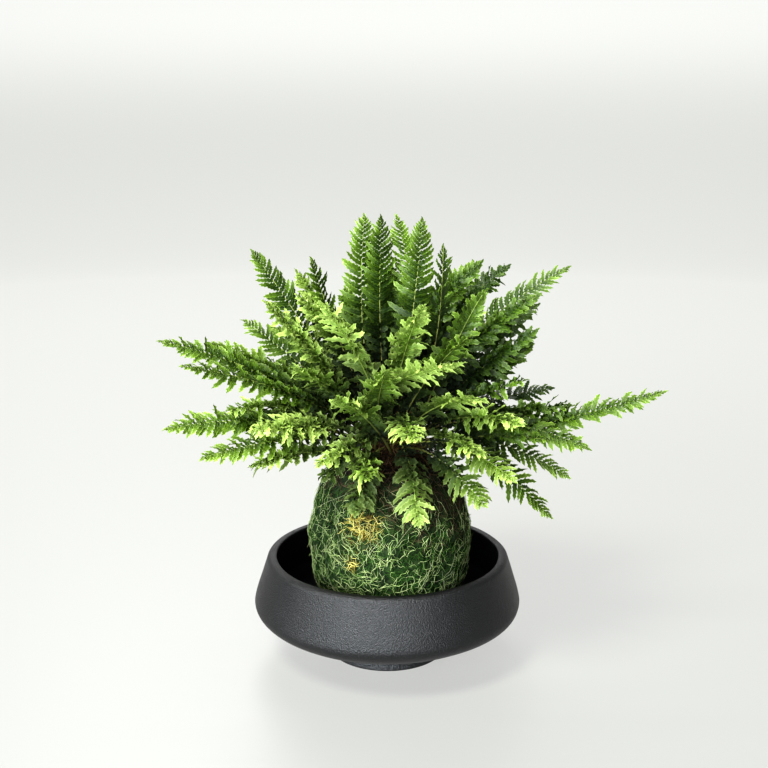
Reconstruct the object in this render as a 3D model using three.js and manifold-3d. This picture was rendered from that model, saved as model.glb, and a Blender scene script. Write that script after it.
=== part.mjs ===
// A kokedama: a dwarf ruffled fern that grows from a moss-wrapped ball of soil, in a low black bowl.
// Millimetres, +Z up. The origin is the middle of the bowl's foot, on the surface that it stands on.
// The front is towards -Y.
import * as THREE from "three";
import { mergeVertices } from "three/addons/utils/BufferGeometryUtils.js";
import Module from "manifold-3d";

const wasm = await Module();
wasm.setup();

// Driving sizes
const BOWL_RADIUS = 85.4; // at the shoulder, the widest place
const BOWL_HEIGHT = 65.5;
const BALL_RADIUS = 51.5;
const BALL_X = 1.5; // the ball stands a little right of the bowl's middle
const BALL_MIDDLE = 73.4; // height of the ball's widest place
const TUFT_COUNT = 12; // tufts of fronds that fill the bush between the leading ones
const TUFT_SIZE = 4; // fronds in a tuft, or one fewer where there isn't room
const SEED = 11;
const GAP = 0.3; // between pieces that rest on each other

// Bowl
const BOWL_WALL = 5.5;
const FOOT_RADIUS = 37.2;
const FOOT_NECK = { r: 34, z: 9 };
const SHOULDER_HEIGHT = 35;
const RIM_RADIUS = 77.3;
const FLOOR_HEIGHT = 13;
const BOWL_SIDES = 42;

// Moss wrap and the soil in it
const BALL_SHAPE = { above: 2.5, below: 2 }; // exponents of the ball's outline, where 2 is round
const BALL_RISE = 58; // from the widest place to the top of the full outline
const BALL_DROP = 62; // and to the bottom
const MOSS_THICKNESS = 7;
const MOSS_MOUTH = 25; // radius of the opening that the crown comes out of
const MOSS_RELIEF = 0.9;
const BALL_SIDES = 28;
const SOIL_TOP = 125;

// Crown, the short brown rootstock that the fronds grow from
const CROWN_RADIUS = 15;
const CROWN_BASE = SOIL_TOP + GAP;
const CROWN_MIDDLE = new THREE.Vector3(BALL_X, 0, 131);
const CROWN_TOP = 146;
const CROWN_SIDES = 10;
const STIPE_ROOT = 11; // how far from the crown's middle a stipe starts
const HOLE_LENGTH = 16;
const BASE_WIDTH = 2.6; // of the short base that the fronds of a tuft share
const BASE_LENGTH = 9;
const BASE_FORK = 2.5; // how far above the crown they part
const BASE_ROOT = 10.5; // how far from the crown's middle it starts
const FORK_ROOM = 26; // as far from the crown's middle its fronds may still touch each other

// Fronds
const BLADE_THICKNESS = 0.75;
const RIB_WIDTH = 1.5;
const RIB_BEND = 0.46; // how far a rib keeps its first direction, as a share of the way to its tip
const STIPE_THICKNESS = 1.4;
const LEAFLET_PITCH = 11.4;
const FEWEST_PAIRS = 7; // of leaflets on a frond
const LAST_LEAFLET = 0.975; // where they end, as a share of the rib
const LEAFLET_SWEEP = 0.3; // how far a leaflet leans forward, as a share of its length
const RUFFLE_UP = 0.34; // how far every other leaflet's tip stands up, as a share of its length
const RUFFLE_DOWN = 0.12; // and the ones between hang down

// The bush: how far its fronds reach from the crown, level and upwards, and how low and high they point
const BUSH_REACH = 112;
const BUSH_RISE = 128;
const BUSH_LOWEST = 4; // degrees above level, seen from the crown
const BUSH_HIGHEST = 82;
const TUFT_SPREAD = 50; // degrees that the fronds of one tuft stand apart at most
const TRIES = 40; // draws for each place, of which the emptiest is taken
const ROOT_SHIFT = 0.5; // how far a tuft's place on the crown may turn from its tips
const ROOT_LOWEST = 0.1; // and how low it may look

// The fronds that stand out from the bush: tip [x, y, z], pitch at the crown, half width, roll and, where the
// frond leaves the crown to one side of its tip, veer. Angles are in degrees.
const LEADING_FRONDS = [
  [[167, -25, 177], 12, 9.5, 34],
  [[113, 20, 246], 66, 10.5, 30],
  [[78, 40, 243], 78, 10.5, 40],
  [[92, 2, 233], 66, 10.5, 40],
  [[98, 46, 218], 56, 10.5, 30],
  [[91, -8, 215], 62, 10.5, 36],
  [[92, 24, 198], 50, 10.5, 30],
  [[106, 20, 169], 36, 9, 24],
  [[-14, 6, 279], 70, 11, 0],
  [[-4, 4, 280], 86, 10.5, 8],
  [[6, 2, 284], 70, 10.5, 0],
  [[21, 8, 277], 74, 10.5, 90, -64],
  [[34, -6, 266], 68, 10.5, -30],
  [[46, 26, 246], 70, 10.5, 50],
  [[60, 6, 243], 74, 10.5, 40],
  [[-84, 20, 256], 56, 10.5, -34],
  [[-62, 40, 244], 66, 10.5, -24],
  [[-46, 0, 256], 72, 10.5, -34],
  [[-73, -28, 234], 62, 11, -30],
  [[-92, 30, 213], 54, 9.5, -30],
  [[-133, -40, 211], 44, 9.5, -40],
  [[-118, -70, 204], 42, 10, -26],
  [[-131, -45, 159], 30, 10.5, -34],
  [[-107, -75, 151], 26, 10, -20],
  [[-109, -10, 204], 50, 10, -34],
  [[-80, -84, 172], 44, 11, -16],
  [[-42, -50, 127], 34, 9.5, -20],
  [[-19, -62, 112], 30, 9.5, 0],
  [[18, -79, 112], 40, 11, 0],
  [[41, -95, 210], 52, 10.5, -22, -70],
  [[50, -100, 190], 48, 11, -16],
  [[53, -90, 156], 36, 10.5, -10],
  [[70, -86, 174], 50, 11, 16],
  [[14, -96, 166], 56, 10.5, 6],
  [[98, -40, 103], 26, 10, 20],
  [[111, -20, 120], 24, 9.5, 24],
  [[116, -55, 149], 40, 10, 26],
  [[70, -78, 137], 30, 10, 10],
  [[58, -64, 120], 30, 9.5, 12],
  [[-38, -70, 239], 70, 11, -8],
  [[22, -80, 240], 72, 11, 4],
  [[-48, -84, 150], 38, 10.5, 0],
  [[-56, 10, 230], 66, 10.5, -30, -48],
];

const radians = (degrees) => (degrees * Math.PI) / 180;
const mix = (a, b, share) => a + (b - a) * share;

// A seeded draw between 0 and 1.
let drawState = SEED;
function draw() {
  drawState = (Math.imul(drawState, 1664525) + 1013904223) >>> 0;
  return drawState / 4294967296;
}
const spread = (middle, reach) => middle + reach * (2 * draw() - 1);

function material(colour, roughness) {
  return new THREE.MeshStandardMaterial({ color: colour, roughness, metalness: 0 });
}
const STONEWARE = material(0x16171a, 0.55);
const MOSS = material(0x33491f, 0.95);
const SOIL = material(0x2c2118, 1);
const CROWN = material(0x3b2a1a, 0.95);
const FERN = material(0x4f8a2b, 0.6);

function solidOf(geometry) {
  const bare = geometry.clone().deleteAttribute("normal").deleteAttribute("uv");
  const merged = mergeVertices(bare, 1e-3);
  return new wasm.Manifold(
    new wasm.Mesh({
      numProp: 3,
      vertProperties: merged.attributes.position.array,
      triVerts: new Uint32Array(merged.index.array),
    }),
  );
}

function geometryOf(solid) {
  const mesh = solid.getMesh();
  return new THREE.BufferGeometry()
    .setAttribute("position", new THREE.BufferAttribute(mesh.vertProperties, 3))
    .setIndex(new THREE.BufferAttribute(mesh.triVerts, 1));
}

// A profile of [r, z] points turned about +Z.
function turned(points, sides) {
  const profile = points.map(([r, z]) => new THREE.Vector2(r, z));
  return new THREE.LatheGeometry(profile, sides).rotateX(Math.PI / 2);
}

// Points along a cubic curve in the profile's plane, without its first point.
function curve(from, control1, control2, to, steps) {
  const points = [from, control1, control2, to].map((p) => new THREE.Vector2(...p));
  const line = new THREE.CubicBezierCurve(...points);
  return line.getPoints(steps).slice(1).map((p) => [p.x, p.y]);
}

// The bowl: a solid foot, an underside that flares to the shoulder, and a wall that leans in to a round lip.
function bowl() {
  const neck = [FOOT_NECK.r, FOOT_NECK.z];
  const shoulder = [BOWL_RADIUS, SHOULDER_HEIGHT];
  const lipTop = BOWL_HEIGHT;
  const lipSide = BOWL_HEIGHT - 2.6;
  const rimInside = RIM_RADIUS - BOWL_WALL;
  const innerShoulder = [BOWL_RADIUS - BOWL_WALL - 0.5, SHOULDER_HEIGHT + 1];
  const well = [26, FLOOR_HEIGHT];
  const profile = [
    [0, 0],
    [FOOT_RADIUS - 1, 0],
    [FOOT_RADIUS, 1],
    neck,
    ...curve(neck, [47, 13.5], [BOWL_RADIUS, 21.5], shoulder, 5),
    ...curve(shoulder, [BOWL_RADIUS, 38], [80.4, 52], [RIM_RADIUS, lipSide], 3),
    [RIM_RADIUS - 0.7, lipTop - 0.5],
    [RIM_RADIUS - BOWL_WALL / 2, lipTop],
    [rimInside + 0.7, lipTop - 0.5],
    [rimInside, lipSide],
    ...curve([rimInside, lipSide], [75, 52], innerShoulder, innerShoulder, 2),
    ...curve(innerShoulder, [BOWL_RADIUS - BOWL_WALL - 1, 27], [56, 21], well, 3),
    [0, FLOOR_HEIGHT],
  ];
  return turned(profile, BOWL_SIDES);
}

// Radius of the ball at a height, drawn in by an inset: round below, and squarer towards its flat top.
function ballRadius(height, inset) {
  const high = height > BALL_MIDDLE;
  const reach = (high ? BALL_RISE : BALL_DROP) - inset;
  const shape = high ? BALL_SHAPE.above : BALL_SHAPE.below;
  const share = Math.min(1, Math.abs(height - BALL_MIDDLE) / reach);
  return (BALL_RADIUS - inset) * (1 - share ** shape) ** (1 / shape);
}

// The height above the ball's middle at which its outline has a radius.
function ballHeight(radius, inset) {
  const share = radius / (BALL_RADIUS - inset);
  const shape = BALL_SHAPE.above;
  return BALL_MIDDLE + (BALL_RISE - inset) * (1 - share ** shape) ** (1 / shape);
}

const MOSS_BOTTOM = FLOOR_HEIGHT + GAP;
const MOUTH_TOP = ballHeight(MOSS_MOUTH + 1.5, 0);

// The outline of one wall of the ball, from the middle of its flat bottom up to a height.
function ballOutline(bottom, top, inset, rows) {
  const points = [[0, bottom]];
  for (let i = 0; i <= rows; i++) {
    const height = mix(bottom, top, (1 - Math.cos((Math.PI * i) / rows)) / 2);
    points.push([ballRadius(height, inset), height]);
  }
  return points;
}
const cavityTop = ballHeight(MOSS_MOUTH, MOSS_THICKNESS);
const cavity = ballOutline(MOSS_BOTTOM + MOSS_THICKNESS, cavityTop, MOSS_THICKNESS, 5);

// How far the moss bulges at a place: broad lumps with smaller ones on them.
function mossLump(turn, z) {
  const broad = Math.sin(5 * turn + z / 9) * Math.cos(3 * turn - z / 14);
  return MOSS_RELIEF * (broad + 0.5 * Math.sin(11 * turn - z / 5));
}

// The moss: a thick cup round the soil, lumpy outside, open where the crown comes out.
function mossWrap() {
  const outside = ballOutline(MOSS_BOTTOM, MOUTH_TOP, 0, 9);
  const geometry = turned([...outside, [MOSS_MOUTH, MOUTH_TOP - 1.5], ...cavity.toReversed()], BALL_SIDES);
  const place = geometry.attributes.position;
  for (let i = 0; i < place.count; i++) {
    const [x, y, z] = [place.getX(i), place.getY(i), place.getZ(i)];
    const radius = Math.hypot(x, y);
    if (z < MOSS_BOTTOM + 4 || z > MOUTH_TOP - 3 || radius < ballRadius(z, 0) - 1) continue;
    const grown = 1 + mossLump(Math.atan2(y, x), z) / radius;
    place.setXY(i, x * grown, y * grown);
  }
  return geometry;
}

// The soil: a packed ball that fills the moss, drawn in from it by the gap, with a flat top for the crown.
function soilBall() {
  const shrink = 1 - (1.2 * GAP) / (BALL_RADIUS - MOSS_THICKNESS);
  const side = cavity.map(([r, z]) => [r * shrink, BALL_MIDDLE + (z - BALL_MIDDLE) * shrink]);
  const top = [[MOSS_MOUTH - 1, side.at(-1)[1] + 2], [CROWN_RADIUS + 4, SOIL_TOP], [0, SOIL_TOP]];
  return turned([...side, ...top], BALL_SIDES);
}

// The crown: a knobbly dome on the soil.
function crownDome() {
  const rise = CROWN_TOP - CROWN_MIDDLE.z;
  const side = [[0, CROWN_BASE], [CROWN_RADIUS - 2, CROWN_BASE], [CROWN_RADIUS, CROWN_MIDDLE.z]];
  for (const angle of [32, 62]) {
    side.push([CROWN_RADIUS * Math.cos(radians(angle)), CROWN_MIDDLE.z + rise * Math.sin(radians(angle))]);
  }
  return turned([...side, [0, CROWN_TOP]], CROWN_SIDES);
}

// A direction from an azimuth and a pitch in radians.
function direction(azimuth, pitch) {
  return new THREE.Vector3(
    Math.cos(pitch) * Math.cos(azimuth),
    Math.cos(pitch) * Math.sin(azimuth),
    Math.sin(pitch),
  );
}

// The rib of a frond, a curve to the tip from inside the crown or from a tuft's fork, and the way across it.
function ribOf({ tip, pitch, veer, fork }) {
  const out = tip.clone().sub(CROWN_MIDDLE);
  const azimuth = Math.atan2(out.y, out.x);
  const start = direction(azimuth + radians(veer), radians(pitch));
  const foot = fork ?? start.clone().multiplyScalar(STIPE_ROOT).add(CROWN_MIDDLE);
  const bend = foot.clone().addScaledVector(start, RIB_BEND * foot.distanceTo(tip));
  const across = new THREE.Vector3(Math.sin(azimuth), -Math.cos(azimuth), 0);
  return { line: new THREE.QuadraticBezierCurve3(foot, bend, tip), across };
}

// Share of the half width along the blade: half of it at the stipe, all in the middle and none at the tip.
const bladeWidth = (along) => (1 - along) ** 0.75 * (0.49 + 2.38 * along);

// The directions along, across and out of the blade at a place on the rib.
function bladeFrame({ line, across }, { roll, twist }, along) {
  const ahead = line.getTangentAt(along);
  const side = across.clone().addScaledVector(ahead, -across.dot(ahead)).normalize();
  side.applyAxisAngle(ahead, radians(roll + twist * along));
  return { ahead, side, up: side.clone().cross(ahead) };
}

// One frond as a single thin solid: a flat stipe, then a rib with leaflets cut down to it on both sides.
// Both faces have the same triangles, so that a waved leaflet doesn't cross itself.
function frondGeometry(frond, extra = 0) {
  const rib = ribOf(frond);
  const line = rib.line;
  const length = line.getLength();
  const bladeStart = frond.bare / length;
  const pairs = Math.max(FEWEST_PAIRS, Math.round(((1 - bladeStart) * length) / LEAFLET_PITCH));
  const stations = [0, bladeStart * 0.5];
  for (let k = 0; k <= pairs; k++) stations.push(mix(bladeStart, LAST_LEAFLET, k / pairs));
  const frame = (along) => bladeFrame(rib, frond, along);

  const corners = [];
  const addCorner = (point, up, thickness) => {
    const half = (thickness + extra) / 2;
    for (const way of [half, -half]) corners.push(point.clone().addScaledVector(up, way));
    return corners.length / 2 - 1;
  };

  const faces = [];
  const edge = { left: [], right: [] };
  stations.forEach((along, i) => {
    const { side, up } = frame(along);
    const point = line.getPointAt(along);
    const thickness = i < 2 ? STIPE_THICKNESS : BLADE_THICKNESS;
    for (const [name, way] of [["right", 1], ["left", -1]]) {
      const corner = point.clone().addScaledVector(side, (way * (RIB_WIDTH + extra)) / 2);
      edge[name].push(addCorner(corner, up, thickness));
    }
  });
  const apex = addCorner(line.getPointAt(1), frame(1).up, BLADE_THICKNESS);
  const rim = { left: [edge.left[0]], right: [edge.right[0]] };
  for (let i = 0; i + 1 < stations.length; i++) {
    const [l0, l1, r0, r1] = [edge.left[i], edge.left[i + 1], edge.right[i], edge.right[i + 1]];
    faces.push([l0, r0, r1], [l0, r1, l1]);
    for (const [name, way, from, to] of [["right", 1, r0, r1], ["left", -1, l0, l1]]) {
      if (i >= 2) {
        const middle = (stations[i] + stations[i + 1]) / 2;
        const share = (middle - bladeStart) / (1 - bladeStart);
        const reach = frond.halfWidth * bladeWidth(share) + extra;
        const { ahead: on, side, up } = frame(middle);
        const wave = ((i + (way > 0 ? 0 : 1)) % 2 ? RUFFLE_UP : -RUFFLE_DOWN) * reach;
        const point = line
          .getPointAt(middle)
          .addScaledVector(side, way * reach)
          .addScaledVector(on, LEAFLET_SWEEP * reach)
          .addScaledVector(up, wave);
        const tip = addCorner(point, up, BLADE_THICKNESS);
        faces.push(way > 0 ? [from, tip, to] : [from, to, tip]);
        rim[name].push(tip);
      }
      rim[name].push(to);
    }
  }
  faces.push([edge.left.at(-1), edge.right.at(-1), apex]);

  const outline = [...rim.right, apex, ...rim.left.reverse()];
  const triangles = [];
  for (const [a, b, c] of faces) {
    triangles.push([2 * a, 2 * b, 2 * c], [2 * a + 1, 2 * c + 1, 2 * b + 1]);
  }
  outline.forEach((a, i) => {
    const b = outline[(i + 1) % outline.length];
    triangles.push([2 * a, 2 * a + 1, 2 * b], [2 * b, 2 * a + 1, 2 * b + 1]);
  });
  return new THREE.BufferGeometry().setFromPoints(corners).setIndex(triangles.flat());
}

// A straight four-sided bar from a place in the crown outwards, along a direction.
function bar(width, length, from, out) {
  const box = new THREE.BoxGeometry(width, width, length).translate(0, 0, length / 2);
  box.applyQuaternion(new THREE.Quaternion().setFromUnitVectors(new THREE.Vector3(0, 0, 1), out));
  return box.translate(...from);
}

// The short base that the fronds of a tuft share.
function tuftBase(out, extra = 0) {
  return bar(BASE_WIDTH + extra, BASE_LENGTH, CROWN_MIDDLE.clone().addScaledVector(out, BASE_ROOT), out);
}

// A plain hole in the crown for a stipe, or for the base of a tuft, a little larger than what stands in it.
function plainHole({ fronds, out }) {
  if (out) {
    const deep = CROWN_MIDDLE.clone().addScaledVector(out, BASE_ROOT - GAP);
    return solidOf(bar(BASE_WIDTH + 2 * GAP, HOLE_LENGTH, deep, out));
  }
  const { line } = ribOf(fronds[0]);
  const chord = line.getPointAt(HOLE_LENGTH / line.getLength()).sub(line.v0).normalize();
  return solidOf(bar(RIB_WIDTH + 2 * GAP, HOLE_LENGTH, line.v0.clone().addScaledVector(chord, -GAP), chord));
}

// Where a tip stands in a direction: on the round outline of the bush, a little inside it or past it.
function bushTip(azimuth, pitch) {
  const out = direction(azimuth, pitch);
  const reach = out.multiply(new THREE.Vector3(BUSH_REACH, BUSH_REACH, BUSH_RISE));
  return reach.multiplyScalar(spread(0.97, 0.09)).add(CROWN_MIDDLE);
}

// The emptiest of a number of drawn places for a tip, near an azimuth if one is given.
function emptiestTip(tips, near, reach) {
  let best = null;
  for (let i = 0; i < TRIES; i++) {
    const azimuth = near === undefined ? draw() * 2 * Math.PI : near + spread(0, reach);
    const low = Math.sin(radians(BUSH_LOWEST));
    const pitch = Math.asin(mix(low, Math.sin(radians(BUSH_HIGHEST)), draw()));
    const tip = bushTip(azimuth, pitch);
    const room = Math.min(...tips.map((other) => other.distanceTo(tip)));
    if (!best || room > best.room) best = { tip, room, azimuth };
  }
  return best;
}

// A frond to a tip that starts steeper than it ends, as it arches over.
function archedFrond(tip, fork) {
  const out = tip.clone().sub(CROWN_MIDDLE);
  const level = Math.hypot(out.x, out.y);
  const lean = Math.atan2(out.z, level) / radians(1);
  return {
    tip,
    fork,
    pitch: Math.min(88, lean + spread(20, 6) * Math.cos(radians(lean)) ** 0.5),
    halfWidth: spread(10.5, 1),
    roll: spread(0, 34),
    twist: spread(0, 16),
    veer: spread(0, 6),
    bare: spread(30, 4),
  };
}

function leadingFrond([tip, pitch, halfWidth, roll, veer = 0]) {
  return {
    tip: new THREE.Vector3(...tip),
    pitch,
    halfWidth,
    roll,
    twist: spread(0, 8),
    veer: spread(veer, 4),
    bare: spread(30, 4),
  };
}

// Small changes that bend a frond clear of those already there, the smallest first: [veer, pitch, roll].
const NUDGE_WAYS = [
  [1, 0, 0], [-1, 0, 0], [0, 1, 0], [0, -1, 0], [0, 0, 1], [0, 0, -1],
  [1, 1, 1], [-1, 1, -1], [1, -1, -1], [-1, -1, 1],
];
const NUDGE_STEP = [5, 4, 6]; // degrees
const TIP_SHARE = 0.3; // how much of a nudge the tip takes
const NUDGES = [[0, 0, 0]];
for (const size of [1, 2, 3, 4, 5, 6]) {
  for (const way of NUDGE_WAYS) NUDGES.push(way.map((sign, k) => sign * size * NUDGE_STEP[k]));
}

// The start of the stipe takes the whole nudge, and the tip a small share of it.
function nudged(frond, [veer, pitch, roll]) {
  const tip = frond.tip.clone().sub(CROWN_MIDDLE);
  tip.applyAxisAngle(new THREE.Vector3(0, 0, 1), radians(TIP_SHARE * veer)).add(CROWN_MIDDLE);
  tip.z += TIP_SHARE * pitch;
  return { ...frond, tip, pitch: frond.pitch + pitch, veer: frond.veer + veer, roll: frond.roll + roll };
}

// Whether a solid is clear of every other one.
const boxesMeet = (a, b) => [0, 1, 2].every((k) => a.min[k] <= b.max[k] && b.min[k] <= a.max[k]);
function clears(body, others) {
  const box = body.boundingBox();
  return others.every((other) => !boxesMeet(box, other.box) || body.intersect(other.solid).isEmpty());
}

// The first nudged frond that clears every solid in the way, or nothing.
function settle(frond, standing) {
  for (const nudge of NUDGES) {
    const tried = nudged(frond, nudge);
    if (clears(solidOf(frondGeometry(tried, 2 * GAP)), standing)) return tried;
  }
  return null;
}

const fern = new THREE.Group();
function add(name, geometry, surface) {
  const mesh = new THREE.Mesh(geometry, surface);
  mesh.name = name;
  fern.add(mesh);
}

const moved = (geometry) => geometry.translate(BALL_X, 0, 0);
const moss = moved(mossWrap());
const soil = moved(soilBall());
const boxed = (geometry) => {
  const solid = solidOf(geometry);
  return { solid, box: solid.boundingBox() };
};
const standing = [bowl(), moss, soil].map(boxed);

// The leading fronds, each alone.
const plants = [];
for (const row of LEADING_FRONDS) {
  const frond = settle(leadingFrond(row), standing);
  if (!frond) continue;
  standing.push(boxed(frondGeometry(frond)));
  plants.push({ fronds: [frond] });
}

// The emptiest of a number of drawn directions from the crown, all near one that is given.
function emptiestRoot(towards) {
  const rootOf = ({ fronds, out }) => out ?? ribOf(fronds[0]).line.v0.clone().sub(CROWN_MIDDLE).normalize();
  const taken = plants.map(rootOf);
  let best = null;
  for (let i = 0; i < TRIES; i++) {
    const shift = new THREE.Vector3(spread(0, ROOT_SHIFT), spread(0, ROOT_SHIFT), spread(0, ROOT_SHIFT));
    const out = towards.clone().normalize().add(shift).normalize();
    const room = Math.min(...taken.map((other) => other.distanceTo(out)));
    if (out.z > ROOT_LOWEST && (!best || room > best.room)) best = { out, room };
  }
  return best.out;
}

// A tuft: its tips stand where the bush is emptiest, and its base on a free place of the crown towards them.
function drawnTuft() {
  const tips = plants.flatMap(({ fronds }) => fronds.map(({ tip }) => tip));
  const first = emptiestTip(tips);
  const chosen = [first.tip];
  while (chosen.length < TUFT_SIZE) {
    chosen.push(emptiestTip([...tips, ...chosen], first.azimuth, radians(TUFT_SPREAD)).tip);
  }
  const middle = chosen.reduce((sum, tip) => sum.add(tip), new THREE.Vector3()).divideScalar(TUFT_SIZE);
  const out = emptiestRoot(middle.sub(CROWN_MIDDLE));
  const fork = CROWN_MIDDLE.clone().addScaledVector(out, CROWN_RADIUS + BASE_FORK);
  return { fronds: chosen.map((tip) => archedFrond(tip, fork)), out };
}

const dome = solidOf(moved(crownDome()));
const aroundTufts = [{ solid: dome, box: dome.boundingBox() }];
const forkRoom = solidOf(new THREE.IcosahedronGeometry(FORK_ROOM, 1).translate(...CROWN_MIDDLE));

// The fronds of a tuft that settle, each clear of the ones before it past the fork.
function settledTuft(drawn) {
  const fronds = [];
  const around = [...standing, ...aroundTufts];
  for (const frond of drawn) {
    const settled = settle(frond, around);
    if (!settled) continue;
    fronds.push(settled);
    const solid = solidOf(frondGeometry(settled)).subtract(forkRoom);
    around.push({ solid, box: solid.boundingBox() });
  }
  return fronds;
}
const plantCount = plants.length + TUFT_COUNT;
const mostDraws = 20 * TUFT_COUNT;
for (let i = 0; plants.length < plantCount && i < mostDraws; i++) {
  const { fronds: drawn, out } = drawnTuft();
  if (!clears(solidOf(tuftBase(out, 2 * GAP)), standing)) continue;
  const fronds = settledTuft(drawn);
  if (fronds.length < TUFT_SIZE - 1) continue;
  standing.push(boxed(tuftBase(out)), ...fronds.map((frond) => boxed(frondGeometry(frond))));
  plants.push({ fronds, out });
}

// The fronds of a plant's node as one body, with the base if it is a tuft.
function plantGeometry({ fronds, out }) {
  if (!out) return frondGeometry(fronds[0]);
  const base = solidOf(tuftBase(out));
  return geometryOf(fronds.reduce((sum, frond) => sum.add(solidOf(frondGeometry(frond))), base));
}

const crown = plants.map(plainHole).reduce((sum, hole) => sum.subtract(hole), dome);
add("bowl", bowl(), STONEWARE);
add("moss_wrap", moss, MOSS);
add("soil_ball", soil, SOIL);
add("crown", geometryOf(crown), CROWN);
plants.forEach((plant, i) => {
  const kind = plant.out ? "tuft_" : "frond_";
  add(kind + String(i + 1).padStart(2, "0"), plantGeometry(plant), FERN);
});

export default fern;
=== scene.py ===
"""A kokedama: a dwarf ruffled fern on a ball of soil wrapped in moss, in a low bowl of black stoneware.

The file is laid out as an add-on. Its panel lists one operator for each piece, or group of like pieces, and
main() calls them in order. Metres, +Z up, with the front towards -Y. The sizes and places come from the
solids that are loaded first: each frond's rib, tilt and width are read from the plain frond that it replaces.
"""

import math
from dataclasses import dataclass

import bpy
import numpy as np
from bpy.props import FloatProperty, FloatVectorProperty, IntProperty, PointerProperty
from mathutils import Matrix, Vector


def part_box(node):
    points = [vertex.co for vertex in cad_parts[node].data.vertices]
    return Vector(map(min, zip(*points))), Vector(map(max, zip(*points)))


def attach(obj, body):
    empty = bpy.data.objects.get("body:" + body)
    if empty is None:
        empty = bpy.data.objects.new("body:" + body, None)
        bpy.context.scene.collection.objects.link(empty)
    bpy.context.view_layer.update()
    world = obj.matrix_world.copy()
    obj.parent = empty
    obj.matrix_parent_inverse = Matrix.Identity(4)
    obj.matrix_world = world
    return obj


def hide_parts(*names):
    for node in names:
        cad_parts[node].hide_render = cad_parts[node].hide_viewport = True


bl_info = {
    "name": "Kokedama fern",
    "version": (1, 0, 0),
    "blender": (4, 5, 0),
    "location": "View3D > Sidebar > Kokedama",
    "description": "Builds a fern on a moss ball in a low bowl, piece by piece",
    "category": "Add Mesh",
}

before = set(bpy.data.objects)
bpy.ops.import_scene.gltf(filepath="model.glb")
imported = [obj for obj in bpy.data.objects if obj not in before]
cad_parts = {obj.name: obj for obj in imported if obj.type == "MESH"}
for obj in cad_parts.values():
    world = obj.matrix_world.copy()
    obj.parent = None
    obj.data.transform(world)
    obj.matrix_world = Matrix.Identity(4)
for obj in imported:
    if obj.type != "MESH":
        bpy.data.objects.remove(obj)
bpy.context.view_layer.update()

MM = 0.001

# Bowl, from its plain solid
BOWL_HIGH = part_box("bowl")[1]
BOWL_RADIUS = BOWL_HIGH.x
BOWL_HEIGHT = BOWL_HIGH.z

# Crown, from its plain solid
CROWN_LOW, CROWN_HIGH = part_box("crown")
CROWN_BOTTOM = CROWN_LOW.z
CROWN_TOP = CROWN_HIGH.z
CROWN_RADIUS = 15 * MM

# Ball, from the plain moss wrap: round below, and squarer towards its flat top
BALL_X = (CROWN_LOW.x + CROWN_HIGH.x) / 2
BALL_MIDDLE = 73.4 * MM
BALL_CENTRE = np.array([BALL_X, 0, BALL_MIDDLE])
BALL_RADIUS = 51.5 * MM
BALL_ABOVE = 2.5  # exponent of the outline above its widest place, where 2 is round
BALL_BELOW = 2.0
BALL_RISE = 58 * MM
BALL_DROP = 62 * MM
STRAND_ROOM = 2.1 * MM  # the moss under the strands lies this far inside the outline
MOSS_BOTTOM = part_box("moss_wrap")[0].z
MOSS_SOLE = MOSS_BOTTOM + 0.2 * MM  # the flat underside of the moss under the strands
MOSS_MOUTH = 26 * MM
MOSS_THICKNESS = 7 * MM
SOIL_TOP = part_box("soil_ball")[1].z
SOIL_ROOM = 0.4 * MM  # between the soil and the moss round it

# Bush
CROWN_MIDDLE = np.array([BALL_X, 0, 131 * MM])
BUSH_REACH = np.array([112, 112, 128]) * MM  # how far it reaches from the crown, to the side, back and up
FROND_CUT = 20 * MM  # a single frond is read from this far outside the crown's middle
TUFT_CUT = 28 * MM  # and a frond of a tuft from here, past where the tuft parts
ROOT_REACH = 13 * MM  # a frond's root is what lies nearer than this to the crown's middle

# Camera, fitted to the bowl's rim, shoulder and foot in a picture 768 points wide
PICTURE_WIDTH = 768
FOCAL_POINTS = 1234
SENSOR = 36.0
CAMERA_PLACE = (-0.0021, -0.7468, 0.3525)
CAMERA_TILT = math.radians(13.295)  # below level


# Numbers on arrays


def smooth_step(low, high, value):
    """0 below low and 1 above high, with a smooth rise between them."""
    share = np.clip((value - low) / (high - low), 0, 1)
    return share * share * (3 - 2 * share)


def unit(vectors):
    """Vectors at length 1."""
    return vectors / np.maximum(np.linalg.norm(vectors, axis=-1, keepdims=True), 1e-12)


def dot(a, b):
    """The product of two arrays of vectors, as a column."""
    return (a * b).sum(axis=-1, keepdims=True)


def turned(vectors, axes, angles):
    """Vectors turned about unit axes, by Rodrigues' formula."""
    cosine, sine = np.cos(angles)[..., None], np.sin(angles)[..., None]
    along = dot(vectors, axes) * axes
    return vectors * cosine + np.cross(axes, vectors) * sine + along * (1 - cosine)


def round_angles(sides):
    """Evenly spaced angles, once round."""
    return np.arange(sides) * 2 * math.pi / sides


def headings_at(angles, tilts):
    """Unit headings at angles round the Z axis and tilts up from level, in radians."""
    return np.stack([np.cos(tilts) * np.cos(angles), np.cos(tilts) * np.sin(angles), np.sin(tilts)], axis=-1)


class Waves:
    """A smooth random field: a sum of seeded plane waves whose lengths are near one size."""

    def __init__(self, seed, wavelength, count=24):
        rng = np.random.default_rng(seed)
        headings = unit(rng.normal(size=(count, 3)))
        lengths = wavelength * rng.uniform(0.6, 1.7, size=(count, 1))
        self.steps = 2 * math.pi * headings / lengths
        self.phases = rng.uniform(0, 2 * math.pi, size=count)
        self.scale = math.sqrt(2 / count)

    def __call__(self, points):
        """The field at each point, with a spread of about 1 either way."""
        return self.scale * np.sin(points @ self.steps.T + self.phases).sum(axis=-1)


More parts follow.
